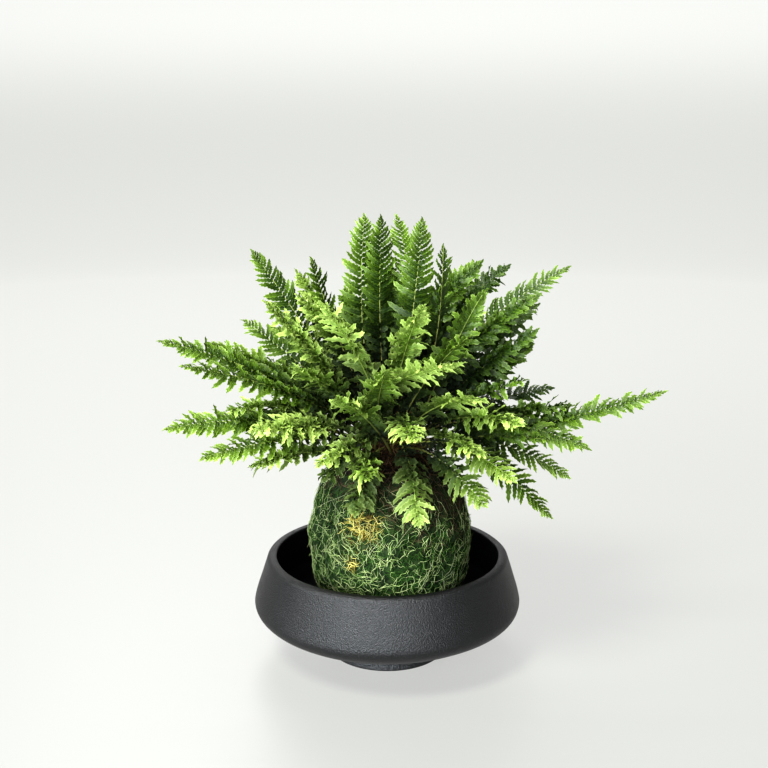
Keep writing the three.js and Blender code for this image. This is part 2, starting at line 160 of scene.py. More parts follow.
def bezier(start, control1, control2, end, steps):
    """Points of a cubic Bezier curve, without its first point."""
    t = np.linspace(0, 1, steps + 1)[1:, None]
    points = [np.array(p, float) for p in (start, control1, control2, end)]
    weights = [(1 - t) ** 3, 3 * t * (1 - t) ** 2, 3 * t * t * (1 - t), t**3]
    return sum(weight * point for weight, point in zip(weights, points))


# Grids and meshes


def ring_quads(rings, sides):
    """The quads between rings of points, each of which closes on itself."""
    ring, side = np.meshgrid(np.arange(rings - 1) * sides, np.arange(sides), indexing="ij")
    after = (side + 1) % sides
    corners = [ring + side, ring + after, ring + sides + after, ring + sides + side]
    return np.stack(corners, axis=-1).reshape(-1, 4)


def fan(first, sides, centre, forwards):
    """Triangles from a ring of points to a centre, turning the way that the ring does or the other way."""
    ring = first + np.arange(sides)
    after = first + (np.arange(sides) + 1) % sides
    middle = np.full(sides, centre)
    order = (middle, ring, after) if forwards else (middle, after, ring)
    return np.stack(order, axis=-1)


def tube_faces(rings, sides, flipped=False):
    """The faces of a tube that is closed at both ends: the quads between its rings, and a fan over each end.

    Its points are the rings in order, then the first end's centre and the last end's. The faces point out
    where the rings turn anticlockwise seen from the last end or, for a flipped tube, clockwise.
    """
    count = rings * sides
    quads = ring_quads(rings, sides)
    fans = [fan(0, sides, count, flipped), fan(count - sides, sides, count + 1, not flipped)]
    return [quads[:, ::-1] if flipped else quads, np.concatenate(fans)]


def build(name, replaced, points, faces, materials, uv=None, marks=None, kinds=None, sharp=None):
    """Make a piece from its points and faces, and tie it to the frame.

    faces is a list of arrays with three or four corners a row, marks holds a number or a colour for each
    point under its name, kinds is each face's material, and an edge between two sharp points is sharp.
    """
    corners = np.concatenate([face.ravel() for face in faces]).astype(np.int32)
    sizes = np.concatenate([np.full(len(face), face.shape[1]) for face in faces])
    starts = np.concatenate([[0], np.cumsum(sizes)[:-1]]).astype(np.int32)
    mesh = bpy.data.meshes.new(name)
    mesh.vertices.add(len(points))
    mesh.vertices.foreach_set("co", np.ascontiguousarray(points, np.float32).ravel())
    mesh.loops.add(len(corners))
    mesh.loops.foreach_set("vertex_index", corners)
    mesh.polygons.add(len(sizes))
    mesh.polygons.foreach_set("loop_start", starts)
    mesh.polygons.foreach_set("use_smooth", np.ones(len(sizes), bool))
    for material in materials:
        mesh.materials.append(material)
    if kinds is not None:
        mesh.polygons.foreach_set("material_index", np.asarray(kinds, np.int32))
    mesh.update(calc_edges=True)
    if uv is not None:
        layer = mesh.uv_layers.new(name="UVMap")
        layer.data.foreach_set("uv", np.ascontiguousarray(uv[corners], np.float32).ravel())
    for mark, values in (marks or {}).items():
        if values.ndim == 1:
            attribute = mesh.attributes.new(mark, "FLOAT", "POINT")
            attribute.data.foreach_set("value", values.astype(np.float32))
        else:
            attribute = mesh.attributes.new(mark, "FLOAT_COLOR", "POINT")
            colour = np.concatenate([values, np.ones((len(values), 1))], axis=1)
            attribute.data.foreach_set("color", colour.astype(np.float32).ravel())
    if sharp is not None:
        ends = np.empty(len(mesh.edges) * 2, np.int32)
        mesh.edges.foreach_get("vertices", ends)
        attribute = mesh.attributes.new("sharp_edge", "BOOLEAN", "EDGE")
        attribute.data.foreach_set("value", sharp[ends].reshape(-1, 2).all(axis=1))
    piece = bpy.data.objects.new(name, mesh)
    bpy.context.scene.collection.objects.link(piece)
    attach(piece, "root")
    if replaced:
        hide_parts(*replaced)


def turned_rings(profile, sides):
    """A ring of points round the Z axis for each (radius, height) point of a profile."""
    angles = round_angles(sides)
    x = profile[:, :1] * np.cos(angles)
    y = profile[:, :1] * np.sin(angles)
    z = np.broadcast_to(profile[:, 1:], x.shape)
    return np.stack([x, y, z], axis=-1).reshape(-1, 3)


def lathe(profile, sides):
    """A profile of (radius, height) points turned about the Z axis.

    The profile starts and ends on the axis, and the faces point to the right of the way that it goes.
    """
    ends = np.array([[0, 0, profile[0, 1]], [0, 0, profile[-1, 1]]])
    points = np.concatenate([turned_rings(profile[1:-1], sides), ends])
    return points, tube_faces(len(profile) - 2, sides)


def strand_tubes(paths, radii, sides=3):
    """Closed tubes along many paths at once: paths is strand, step, place and radii is strand, step.

    Each ring stands square to the path, with its first point to the side as seen from out of the ball, and
    both ends close in a fan to the path's own end. It returns the points, the faces and how many points a
    tube has.
    """
    strands, steps, _ = paths.shape
    ahead = unit(np.gradient(paths, axis=1))
    across = unit(np.cross(ahead, paths - BALL_CENTRE))
    out = np.cross(across, ahead)
    angles = round_angles(sides)
    ring = across[:, :, None] * np.cos(angles)[:, None] + out[:, :, None] * np.sin(angles)[:, None]
    rings = paths[:, :, None] + ring * radii[:, :, None, None]
    points = np.concatenate([rings.reshape(strands, -1, 3), paths[:, :1], paths[:, -1:]], axis=1)
    each = points.shape[1]
    first = np.arange(strands)[:, None, None] * each
    faces = [(first + kind).reshape(-1, kind.shape[1]) for kind in tube_faces(steps, sides, flipped=True)]
    return points.reshape(-1, 3), faces, each


# Materials


class Value:
    """An output of a material's node. Sums, differences and products of values are Math nodes."""

    def __init__(self, paint, socket):
        self.paint = paint
        self.socket = socket

    def _math(self, operation, first, second):
        return self.paint.node("ShaderNodeMath", {"operation": operation}, {0: first, 1: second})

    def __add__(self, other):
        return self._math("ADD", self, other)

    def __radd__(self, other):
        return self._math("ADD", other, self)

    def __sub__(self, other):
        return self._math("SUBTRACT", self, other)

    def __rsub__(self, other):
        return self._math("SUBTRACT", other, self)

    def __mul__(self, other):
        return self._math("MULTIPLY", self, other)

    def __rmul__(self, other):
        return self._math("MULTIPLY", other, self)

    def __abs__(self):
        return self._math("ABSOLUTE", self, 0.0)


class Paint:
    """The nodes of one material, which ends in a Principled BSDF."""

    def __init__(self, name):
        self.material = bpy.data.materials.new(name)
        self.material.use_nodes = True
        self.tree = self.material.node_tree
        self.tree.nodes.clear()

    def node(self, kind, settings=None, sockets=None, out=0):
        """Add a node: its settings first, of which stops are a ramp's, then its sockets' values or links."""
        node = self.tree.nodes.new(kind)
        for key, value in (settings or {}).items():
            if key == "stops":
                ramp = node.color_ramp
                while len(ramp.elements) < len(value):
                    ramp.elements.new(0.5)
                for element, (position, colour) in zip(ramp.elements, value):
                    element.position = position
                    element.color = (*colour, 1)
            else:
                setattr(node, key, value)
        for key, value in (sockets or {}).items():
            if isinstance(value, Value):
                self.tree.links.new(value.socket, node.inputs[key])
            else:
                node.inputs[key].default_value = value
        return Value(self, node.outputs[out]) if node.outputs else None

    def place(self):
        """Object coordinates."""
        return self.node("ShaderNodeTexCoord", out=3)

    def noise(self, scale, detail, roughness):
        """A noise value, about 0 to 1, with scale waves a metre."""
        sockets = {"Vector": self.place(), "Scale": scale, "Detail": detail, "Roughness": roughness}
        return self.node("ShaderNodeTexNoise", {}, sockets)

    def ramp(self, value, *stops):
        """A colour for each value, between stops of (position, colour)."""
        return self.node("ShaderNodeValToRGB", {"stops": stops}, {0: value})

    def fade(self, low, high, value):
        """A smooth rise from 0 at low to 1 at high."""
        settings = {"interpolation_type": "SMOOTHSTEP"}
        return self.node("ShaderNodeMapRange", settings, {0: value, 1: low, 2: high, 3: 0.0, 4: 1.0})

    def mix(self, share, first, second):
        """A colour between two colours."""
        colours = [c if isinstance(c, Value) else (*c, 1) for c in (first, second)]
        sockets = {0: share, 6: colours[0], 7: colours[1]}
        return self.node("ShaderNodeMix", {"data_type": "RGBA"}, sockets, out=2)

    def mark(self, name, out=2):
        """What the mesh holds for each point under a name: a number, or a colour where out is 0."""
        return self.node("ShaderNodeAttribute", {"attribute_name": name}, {}, out=out)

    def bump(self, height, distance):
        """A normal raised by a height, which is 1 where the surface rises by the distance."""
        return self.node("ShaderNodeBump", {}, {"Height": height, "Distance": distance, "Strength": 1.0})

    def finish(self, sockets, glow=None):
        """The surface, from the sockets of a Principled BSDF; glow is light let through, (share, colour)."""
        surface = self.node("ShaderNodeBsdfPrincipled", {}, sockets)
        if glow:
            share, colour = glow
            through = self.node("ShaderNodeBsdfTranslucent", {}, {"Color": (*colour, 1)})
            surface = self.node("ShaderNodeMixShader", {}, {0: share, 1: surface, 2: through})
        self.node("ShaderNodeOutputMaterial", {}, {"Surface": surface})
        return self.material


def stoneware_finish(colour, roughness):
    """Matt black stoneware: a fine pebbled skin that catches small lights, over faint blotches."""
    paint = Paint("stoneware")
    pebbles = paint.noise(1150, 2.0, 0.7)
    blotches = paint.noise(38, 3.0, 0.5)
    shade = paint.mix(blotches, [0.8 * c for c in colour], [1.25 * c for c in colour])
    return paint.finish(
        {
            "Base Color": shade,
            "Roughness": roughness + (blotches - 0.5) * 0.1,
            "Normal": paint.bump(pebbles, 0.7 * MM),
            "Specular IOR Level": 0.66,
        }
    )


def moss_finish():
    """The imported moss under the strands: dark green and brown clumps."""
    paint = Paint("moss base")
    clumps = paint.noise(160, 4.0, 0.65)
    fine = paint.noise(900, 3.0, 0.6)
    shade = paint.ramp(
        clumps, (0.3, (0.006, 0.011, 0.004)), (0.5, (0.018, 0.036, 0.009)), (0.72, (0.04, 0.07, 0.018))
    )
    normal = paint.bump(fine + clumps, 0.8 * MM)
    return paint.finish({"Base Color": shade, "Roughness": 0.95, "Normal": normal})


def strand_finish(name, roughness):
    """Strands of moss, root or straw, in the colour that each strand holds, with small dark flecks."""
    paint = Paint(name)
    flecks = paint.noise(1400, 2.0, 0.6)
    shade = paint.mix(flecks * 0.35, paint.mark("tint", out=0), (0.0, 0.0, 0.0))
    return paint.finish({"Base Color": shade, "Roughness": roughness, "Specular IOR Level": 0.2})


def soil_finish():
    """Dark crumbly soil."""
    paint = Paint("soil")
    crumbs = paint.noise(420, 5.0, 0.7)
    shade = paint.ramp(
        crumbs, (0.3, (0.006, 0.004, 0.003)), (0.55, (0.025, 0.016, 0.01)), (0.8, (0.075, 0.05, 0.03))
    )
    return paint.finish({"Base Color": shade, "Roughness": 1.0, "Normal": paint.bump(crumbs, 1.2 * MM)})


def crown_finish():
    """Brown fibrous rootstock with darker hollows."""
    paint = Paint("crown")
    fibres = paint.noise(520, 5.0, 0.65)
    shade = paint.ramp(
        fibres, (0.3, (0.01, 0.006, 0.003)), (0.5, (0.045, 0.024, 0.011)), (0.75, (0.12, 0.07, 0.03))
    )
    return paint.finish({"Base Color": shade, "Roughness": 0.9, "Normal": paint.bump(fibres, 1.0 * MM)})


def leaf_finish(old, middle, young):
    """A leaflet: from old dark green to young lime, with painted shade deep in the bush.

    Its colour follows how young it is, with painted light, and rises with blotches and towards the rim, where
    it is partly the leaflet's own paler margin and partly a painted highlight. Over that lie a paler midrib,
    dark lines between slanted veins, a paler underside and painted shade, nearly black, deep in the bush.
    """
    paint = Paint("leaflet")
    uv = paint.node("ShaderNodeUVMap", {"uv_map": "UVMap"})
    across = paint.node("ShaderNodeSeparateXYZ", {}, {0: uv}, out=0)
    along = paint.node("ShaderNodeSeparateXYZ", {}, {0: uv}, out=1)
    off = abs(across * 2 - 1)
    inner = paint.mark("inner")
    blotches = paint.noise(260, 3.0, 0.6)
    # The rim fade is partly the leaflet's own paler margin and partly a painted highlight
    age_and_light = paint.mark("youth") + (blotches - 0.5) * 0.3 + paint.fade(0.45, 1.0, off) * 0.32 - 0.1
    shade = paint.ramp(age_and_light, (0.0, old), (0.5, middle), (1.0, young))
    slant = off * -0.22
    turns = 44  # radians from the leaflet's foot to its tip, so seven veins to a side
    veins = paint.node("ShaderNodeMath", {"operation": "SINE"}, {0: (along + slant) * turns})
    shade = paint.mix(paint.fade(0.4, 1.0, veins) * 0.16, shade, (0.01, 0.035, 0.004))
    midrib = 1 - paint.fade(0.03, 0.13, off)
    shade = paint.mix(midrib * 0.25, shade, (0.36, 0.52, 0.12))
    shade = paint.mix(paint.mark("under") * 0.2, shade, (0.16, 0.26, 0.06))
    # Painted shade: leaflets deep in the bush are darkened nearly to black, and lose some sheen and light let
    # through
    shade = paint.mix(inner * 0.96, shade, (0.002, 0.007, 0.001))
    height = midrib * 0.6 + veins * 0.14 + blotches * 0.5
    return paint.finish(
        {
            "Base Color": shade,
            "Roughness": 0.36 + blotches * 0.2 + inner * 0.3,
            "Normal": paint.bump(height, 0.25 * MM),
            "Specular IOR Level": 0.5,
        },
        glow=(0.14 - inner * 0.13, (0.3, 0.5, 0.05)),
    )


def stipe_finish():
    """A stipe and rib: pale green, browner towards the crown."""
    paint = Paint("stipe")
    flecks = paint.noise(700, 3.0, 0.6)
    age_and_light = paint.mark("youth") + (flecks - 0.5) * 0.2
    shade = paint.ramp(
        age_and_light, (0.0, (0.075, 0.04, 0.016)), (0.35, (0.16, 0.17, 0.045)), (1.0, (0.28, 0.42, 0.09))
    )
    return paint.finish({"Base Color": shade, "Roughness": 0.5, "Specular IOR Level": 0.4})


# Bowl


HAND_WAVES = Waves(3, 46 * MM)
WHEEL_PITCH = 2.1 * MM


def bowl_profile():
    """Half the bowl's section, from the middle of its foot round the wall to the middle of its floor."""

    def mm(radius, height):
        """A point at a radius and a height, in millimetres."""
        return radius * MM, height * MM

    def below_top(radius, drop):
        """A point at a radius and a drop below the bowl's top, in millimetres."""
        return radius * MM, BOWL_HEIGHT - drop * MM

    foot = mm(36.2, 0)
    foot_side = mm(37.2, 1)
    neck = mm(34, 9)
    shoulder = (BOWL_RADIUS, 35 * MM)
    rim = below_top(77.2, 2.6)
    lip = below_top(73.8, 0)
    lip_inside = below_top(71.7, 0.1)
    rim_inside = below_top(70.9, 1.2)
    inner = mm(79.4, 36)
    well = mm(26, 13)
    return np.concatenate(
        [
            [mm(0, 0.6), mm(31, 0.6), mm(32.5, 0), foot],
            bezier(foot, mm(36.9, 0), mm(37.2, 0.4), foot_side, 4),
            bezier(foot_side, mm(37.2, 3.2), mm(34.4, 5.5), neck, 6),
            bezier(neck, mm(47, 13.5), (BOWL_RADIUS, 21.5 * MM), shoulder, 28),
            bezier(shoulder, (BOWL_RADIUS, 38 * MM), mm(80.4, 52), rim, 16),
            bezier(rim, below_top(77, 1.5), below_top(75.8, 0.2), lip, 6),
            bezier(lip, below_top(73.1, 0), below_top(72.4, 0), lip_inside, 3),
            bezier(lip_inside, below_top(71.2, 0.2), below_top(70.9, 0.6), rim_inside, 5),
            bezier(rim_inside, mm(75, 52), inner, inner, 14),
            bezier(inner, mm(78.9, 27), mm(56, 21), well, 18),
            [mm(0, 13)],
        ]
    )


def bowl_surface():
    """The bowl: its section turned about its axis, with shallow waves left by the wheel and the hand."""
    points, faces = lathe(bowl_profile(), sides=160)
    hand = HAND_WAVES(points)[:, None] * 0.16 * MM
    wheel = np.sin(points[:, 2:] / WHEEL_PITCH) * 0.035 * MM
    level = points * [1, 1, 0]
    radius = np.linalg.norm(level, axis=1)[:, None]
    free = smooth_step(2 * MM, 12 * MM, points[:, 2:]) * smooth_step(0, 20 * MM, radius)
    return points + unit(level) * (hand + wheel) * free, faces


# Ball


def ball_reach(headings):
    """How far the ball's outline lies from its middle along unit headings.

    Its surface is where the radius and the height, each as a share of its limit and raised to the exponent
    above or below the middle, add up to one.
    """
    level = np.linalg.norm(headings[..., :2], axis=-1) / BALL_RADIUS
    high = headings[..., 2] > 0
    limit = np.where(high, BALL_RISE, BALL_DROP)
    shape = np.where(high, BALL_ABOVE, BALL_BELOW)
    return (level**shape + (np.abs(headings[..., 2]) / limit) ** shape) ** (-1 / shape)


def ball_height(radius):
    """The height above the ball's middle at which its outline has a radius."""
    return BALL_RISE * (1 - (radius / BALL_RADIUS) ** BALL_ABOVE) ** (1 / BALL_ABOVE)


MOSS_CLUMPS = Waves(5, 15 * MM)
MOSS_TUFTS = Waves(6, 5 * MM)


def ball_points(headings, height=0.0):
    """Points on the lumpy moss under the strands along unit headings, raised by a height."""
    reach = ball_reach(headings) - STRAND_ROOM
    flat = headings * reach[..., None]
    lumps = 0.65 * MM * MOSS_CLUMPS(flat) + 0.3 * MM * MOSS_TUFTS(flat)
    points = flat + headings * (lumps + height)[..., None] + BALL_CENTRE
    points[..., 2] = np.maximum(points[..., 2], MOSS_SOLE)
    return points


def moss_surface():
    """The moss: a lumpy cup, open round the crown. Its outside is the ball's, its inside a plain hollow."""
    sides = 180
    mouth = math.atan2(ball_height(MOSS_MOUTH), MOSS_MOUTH)
    floor = MOSS_BOTTOM + MOSS_THICKNESS

    def rows_at(tilts):
        """Unit headings in rows round the ball, one row for each tilt."""
        tilt, angle = np.meshgrid(tilts, round_angles(sides), indexing="ij")
        return headings_at(angle, tilt)

    outside = ball_points(rows_at(np.linspace(-math.pi / 2, mouth, 111)[1:]))
    headings = rows_at(np.linspace(mouth, -math.pi / 2, 24)[:-1])
    inside = headings * (ball_reach(headings) - MOSS_THICKNESS)[..., None] + BALL_CENTRE
    inside[..., 2] = np.maximum(inside[..., 2], floor)
    rings = np.concatenate([outside, inside])
    ends = np.array([[BALL_X, 0, MOSS_SOLE], [BALL_X, 0, floor]])
    return np.concatenate([rings.reshape(-1, 3), ends]), tube_faces(len(rings), sides)


def wandering_paths(rng, starts, lengths, steps, bend, wiggle, heights):
    """Paths that wander over the ball: each step goes on along a slowly turning heading.

    starts are unit headings, near which the middle of each path lies. bend is how far a path turns in all and
    wiggle how far it swings each way, in radians. heights, for each strand and step, is how far it lies above
    the moss.
    """
    count = len(starts)
    drawn = unit(rng.normal(size=(count, 3)))
    ahead = unit(drawn - dot(drawn, starts) * starts)
    turns = rng.normal(0, bend, count) / steps
    swing = rng.normal(0, wiggle, (count, steps))
    place = unit(starts - ahead * (0.5 * lengths / BALL_RADIUS)[:, None])
    ahead = unit(ahead - dot(ahead, place) * place)
    places = [place]
    for step in range(steps):
        ahead = turned(ahead, place, turns + swing[:, step] / steps)
        place = unit(place + ahead * (lengths / steps / BALL_RADIUS)[:, None])
        ahead = unit(ahead - dot(ahead, place) * place)
        places.append(place)
    return ball_points(np.stack(places, axis=1), heights)


def tapered(widths, steps):
    """Half widths along each strand: full in the middle, a third at both ends."""
    share = np.linspace(0, 1, steps + 1)
    return 0.5 * widths[:, None] * (0.33 + 0.67 * np.sin(math.pi * share) ** 0.5)


# Plain fronds

WELD = 0.01 * MM  # points that lie within this of each other are one
RIB_POINTS = 64
FIT_ROUNDS = 40
ON_RIB = 1.3 * MM  # points this near the fitted rib belong to it
AT_TIPS = 2.5 * MM  # and points farther from it than this are leaflets' tips
TIP_AHEAD = 0.3  # how far a plain leaflet's tip lies ahead of its foot, as a share of its reach
FIT_SOFTNESS = 0.4 * MM  # points much nearer to the curve than this weigh about the same in its fit
LONG_STEP = 4 * MM  # from here on a step between the rib's points is a long one
BARE_STEP = 11.5 * MM  # and from here on it is long enough for the bare stalk


def welded(node):
    """A plain node's points and triangles, with the points that coincide made one."""
    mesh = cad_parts[node].data
    places = np.empty(len(mesh.vertices) * 3)
    mesh.vertices.foreach_get("co", places)
    places = places.reshape(-1, 3)
    corners = np.empty(len(mesh.loops), np.int32)
    mesh.loops.foreach_get("vertex_index", corners)
    cells = np.round(places / WELD)
    _, first, back = np.unique(cells, axis=0, return_index=True, return_inverse=True)
    return places[first], back.reshape(-1)[corners].reshape(-1, 3)


def separate_fronds(node):
    """The points of each frond in a plain node, past where they are joined, and the place of its root.

    Every point starts with its own number, and the lowest number spreads along the edges until none changes.
    """
    places, faces = welded(node)
    distance = np.linalg.norm(places - CROWN_MIDDLE, axis=1)
    far = distance > (TUFT_CUT if node.startswith("tuft") else FROND_CUT)
    faces = faces[far[faces].all(axis=1)]
    ends = np.concatenate([faces[:, [0, 1]], faces[:, [1, 2]], faces[:, [2, 0]]])
    label = np.arange(len(places))
    while True:
        least = label.copy()
        lower = np.minimum(label[ends[:, 0]], label[ends[:, 1]])
        np.minimum.at(least, ends[:, 0], lower)
        np.minimum.at(least, ends[:, 1], lower)
        if (least == label).all():
            break
        label = least
    used = np.unique(faces)
    root = places[distance < ROOT_REACH].mean(axis=0)
    return [(places[used[label[used] == group]], root) for group in np.unique(label[used])]


def blade_width(share):
    """The share of its half width that a blade has: half at the stipe, all at the middle, none at the tip."""
    return np.clip(1 - share, 0, 1) ** 0.75 * (0.49 + 2.38 * share)


def fitted_blade(places):
    """A curve along a plain blade from the stipe to the tip, and how far each of its points lies from it.

    The curve is a quartic in the distance from the crown, fitted again and again with less weight on far
    points, so that the leaflets' tips drop out.
    """
    reach = np.linalg.norm(places - CROWN_MIDDLE, axis=1)
    low, high = reach.min(), reach.max()
    powers = np.vander((reach - low) / (high - low), 5)
    weight = np.ones(len(places))
    for _ in range(FIT_ROUNDS):
        fitted = np.linalg.lstsq(powers * weight[:, None], places * weight[:, None], rcond=None)[0]
        miss = np.linalg.norm(places - powers @ fitted, axis=1)
        weight = 1 / (miss + FIT_SOFTNESS)
    return np.vander(np.linspace(0, 1, RIB_POINTS), 5) @ fitted, miss


def stalk_to(blade, root):
    """A parabola from the root that runs into a blade's curve, without its last point."""
    start = blade[0]
    slope = unit(blade[1] - blade[0])
    knee = start - slope * 0.5 * np.linalg.norm(start - root)
    t = np.linspace(0, 1, 12)[:-1, None]
    return (1 - t) ** 2 * root + 2 * t * (1 - t) * knee + t**2 * start


def blade_directions(off, at, along, ahead):
    """The directions across a blade and out of it, at each point of its rib.

    off is how the leaflets' tips lie off the rib, and at the number of the rib's point there. The way across
    is a quadratic fitted to the tips, all turned to one side, and made square to the rib.
    """
    heading = unit(off)
    spread = np.linalg.eigh(heading.T @ heading)[1][:, -1]
    heading = heading * np.sign(dot(heading, spread))
    fitted = np.linalg.lstsq(np.vander(along[at], 3), heading, rcond=None)[0]
    side = np.vander(along, 3) @ fitted
    side = unit(side - dot(side, ahead) * ahead)
    up = np.cross(side, ahead)
    if dot(off, up[at]).mean() < 0:
        return -side, -up
    return side, up


def leaflets_start(stations):
    """Where the leaflets start along a rib, from the distances of the points on it, in order.

    The first long step is the bare stalk or, if it is too short for that, lies between the first leaflets.
    """
    gap = np.nonzero(np.diff(stations) > LONG_STEP)[0][0]
    bare = stations[gap + 1] - stations[gap] > BARE_STEP
    return stations[gap + 1 if bare else gap]


def read_frond(places, root):
    """A frond's rib, directions and width, from the points of its plain blade.

    The half width is the tips' median, each as a share of the plain blade's own there.
    """
    blade, miss = fitted_blade(places)
    rib = np.concatenate([stalk_to(blade, root), blade])
    arc = np.concatenate([[0], np.cumsum(np.linalg.norm(np.diff(rib, axis=0), axis=1))])
    ahead = unit(np.gradient(rib, axis=0))
    nearest = np.linalg.norm(places[:, None] - rib, axis=2).argmin(axis=1)
    start = leaflets_start(np.sort(arc[nearest[miss < ON_RIB]]))

    off = places - rib[nearest]
    tips = np.linalg.norm(off, axis=1) > AT_TIPS
    off, at = off[tips], nearest[tips]
    side, up = blade_directions(off, at, arc / arc[-1], ahead)
    width = np.abs(dot(off, side[at]))[:, 0]
    share = np.clip((arc[at] - TIP_AHEAD * width - start) / (arc[-1] - start), 0.02, 0.98)
    return {
        "rib": rib,
        "arc": arc,
        "ahead": ahead,
        "side": side,
        "up": up,
        "blade_start": start,
        "half_width": np.median(width / blade_width(share)),
    }


def leaflet_pattern(rows):
    """The faces of one leaflet and where its points lie.

    A leaflet is a thin lens: an upper and a lower sheet, each two strips of quads beside the midrib, that
    share their rim, and one point at the tip. Each point has its row, its place across (-1 to 1) and its
    layer (1 above, -1 below, 0 on the rim).
    """
    upper = np.arange(rows * 3).reshape(rows, 3)
    tip = rows * 3
    lower = upper.copy()
    lower[1:, 1] = tip + np.arange(1, rows)

    def sheet(grid):
        """A sheet's quads."""
        return np.stack([grid[:-1, :-1], grid[1:, :-1], grid[1:, 1:], grid[:-1, 1:]], axis=-1).reshape(-1, 4)

    def end(grid):
        """The two triangles from a sheet's last row to the tip."""
        return np.stack([grid[-1, :-1], np.full(2, tip), grid[-1, 1:]], axis=-1)

    quads = np.concatenate([sheet(upper), sheet(lower)[:, ::-1]])
    triangles = np.concatenate([end(upper), end(lower)[:, ::-1]])
    row = np.concatenate([np.repeat(np.arange(rows), 3), [rows], np.arange(1, rows)])
    place = np.concatenate([np.tile([-1, 0, 1], rows), np.zeros(rows)])
    rim = (np.abs(place) == 1) | (row == 0) | (row == rows)
    layer = np.where(rim, 0, np.where(np.arange(len(row)) > tip, -1, 1))
    return {"quads": quads, "triangles": triangles, "row": row, "place": place, "layer": layer, "rim": rim}


def leaflet_points(pattern, leaflets, ruffle, rng):
    """Points of many leaflets at once, as leaflet, point, place.

    A leaflet's midrib leaves the rib sideways and curves ahead. Its half width is narrow at the rib, full
    near a third and none at the tip, and steps in at every other row, which makes the teeth. The blade is
    folded up along its midrib, turned about it, and waved at its rim, and a loose leaflet varies more.
    """
    names = ("base", "side", "ahead", "up", "length", "width", "lean", "lift", "loose")
    base, side, ahead, up, length, width, lean, lift, loose = (leaflets[name] for name in names)
    row, place, layer, rim = (pattern[name] for name in ("row", "place", "layer", "rim"))
    rows = row.max()
    count = len(base)

    def draw(middle, reach):
        """A number for each leaflet, spread about a middle, and more so for a loose one."""
        return (middle + loose * reach * rng.normal(size=count))[:, None]

    # The outline: how far each point lies along the midrib, and half the width there
    peak = (row % 2 == 1) & (np.abs(place) == 1)
    notch = (row % 2 == 0) & (np.abs(place) == 1) & (row > 0) & (row < rows)
    share = row / rows
    shifted = share + np.where(peak, 0.3 / rows, 0)
    body = np.minimum(1, 0.5 + 5 * share) * (1 - share**4) ** 0.7
    tooth = np.where(peak, 1.18, np.where(notch, 0.74, 1)) * np.where((row == 1) & (place > 0), 1.2, 1)
    half = 0.5 * width[:, None] * body * tooth * (1 + 0.1 * rng.normal(size=(count, len(row))) * rim)

    # The midrib: its angle ahead of sideways, the blade's turn about it, and its rise
    along = length[:, None] * shifted
    angle = lean[:, None] + draw(0.0, 0.12) + draw(0.25, 0.2) * shifted
    turn = loose[:, None] * draw(0.3, 0.42) + draw(0.0, 0.6) * shifted
    curl = draw(-0.2, 0.34)
    out = along * np.cos(angle)
    on = along * np.sin(angle)
    rise = length[:, None] * (lift[:, None] * shifted + curl * shifted**2)

    # The blade: how far each point stands off its plane, from the waved rim, the fold and the thickness
    wave = np.where(row % 4 == 1, 1, -1) * np.where(place > 0, 1, -1) * np.where(peak, 1, 0)
    wave = wave * rng.choice([-1, 1], size=(count, 1)) * draw(ruffle, 0.4 * ruffle) * width[:, None] * body
    fold = draw(0.3, 0.3) * np.abs(place) * half
    thick = 0.14 * MM * layer * np.minimum(1, length / (6 * MM))[:, None]
    normal = fold + wave + thick
    across = place * half

    sine, cosine = np.sin(turn), np.cos(turn)
    x = out - across * cosine * np.sin(angle) + normal * sine * np.sin(angle)
    y = on + across * cosine * np.cos(angle) - normal * sine * np.cos(angle)
    z = rise + across * sine + normal * cosine
    axes = [a[:, None] for a in (side, ahead, up)]
    return base[:, None] + x[..., None] * axes[0] + y[..., None] * axes[1] + z[..., None] * axes[2]


# Fine fronds

# Each pattern of leaflet, and the length from which leaflets have it
LEAFLET_PATTERNS = (
    (leaflet_pattern(5), 0),
    (leaflet_pattern(7), 3.6 * MM),
    (leaflet_pattern(9), 6.4 * MM),
    (leaflet_pattern(11), 9.4 * MM),
)
TIP_LEAFLET = 4.0 * MM
SHORTEST_LEAFLET = 1.3 * MM
FIRST_LEAFLETS = 14 * MM  # leaflets start this far below the plain blade's
CLOSING = 1.35  # how many times wider the leaflets' spacing is at the stipe than if it were even
RAISED = 0.95  # radians by which the short rows stand up from the blade
RIB_SIDES = 5
RIB_RINGS = 44
LEAFLET, STIPE = 0, 1  # the number of a face's material

# The rows of leaflets: the side (1 is right), the shift along the rib in spacings, and the angle up
ROWS = ((1.0, 0.1, 0.0), (-1.0, 0.6, 0.0), (1.0, 0.35, RAISED), (-1.0, 0.85, RAISED))


def along_rib(frond, arcs):
    """The place and the directions across, along and out of the blade at distances along the rib."""

    def at_arcs(values):
        """The values at the distances, from those at the rib's points."""
        return np.stack([np.interp(arcs, frond["arc"], values[:, k]) for k in range(3)], axis=1)

    return at_arcs(frond["rib"]), *(unit(at_arcs(frond[name])) for name in ("side", "ahead", "up"))


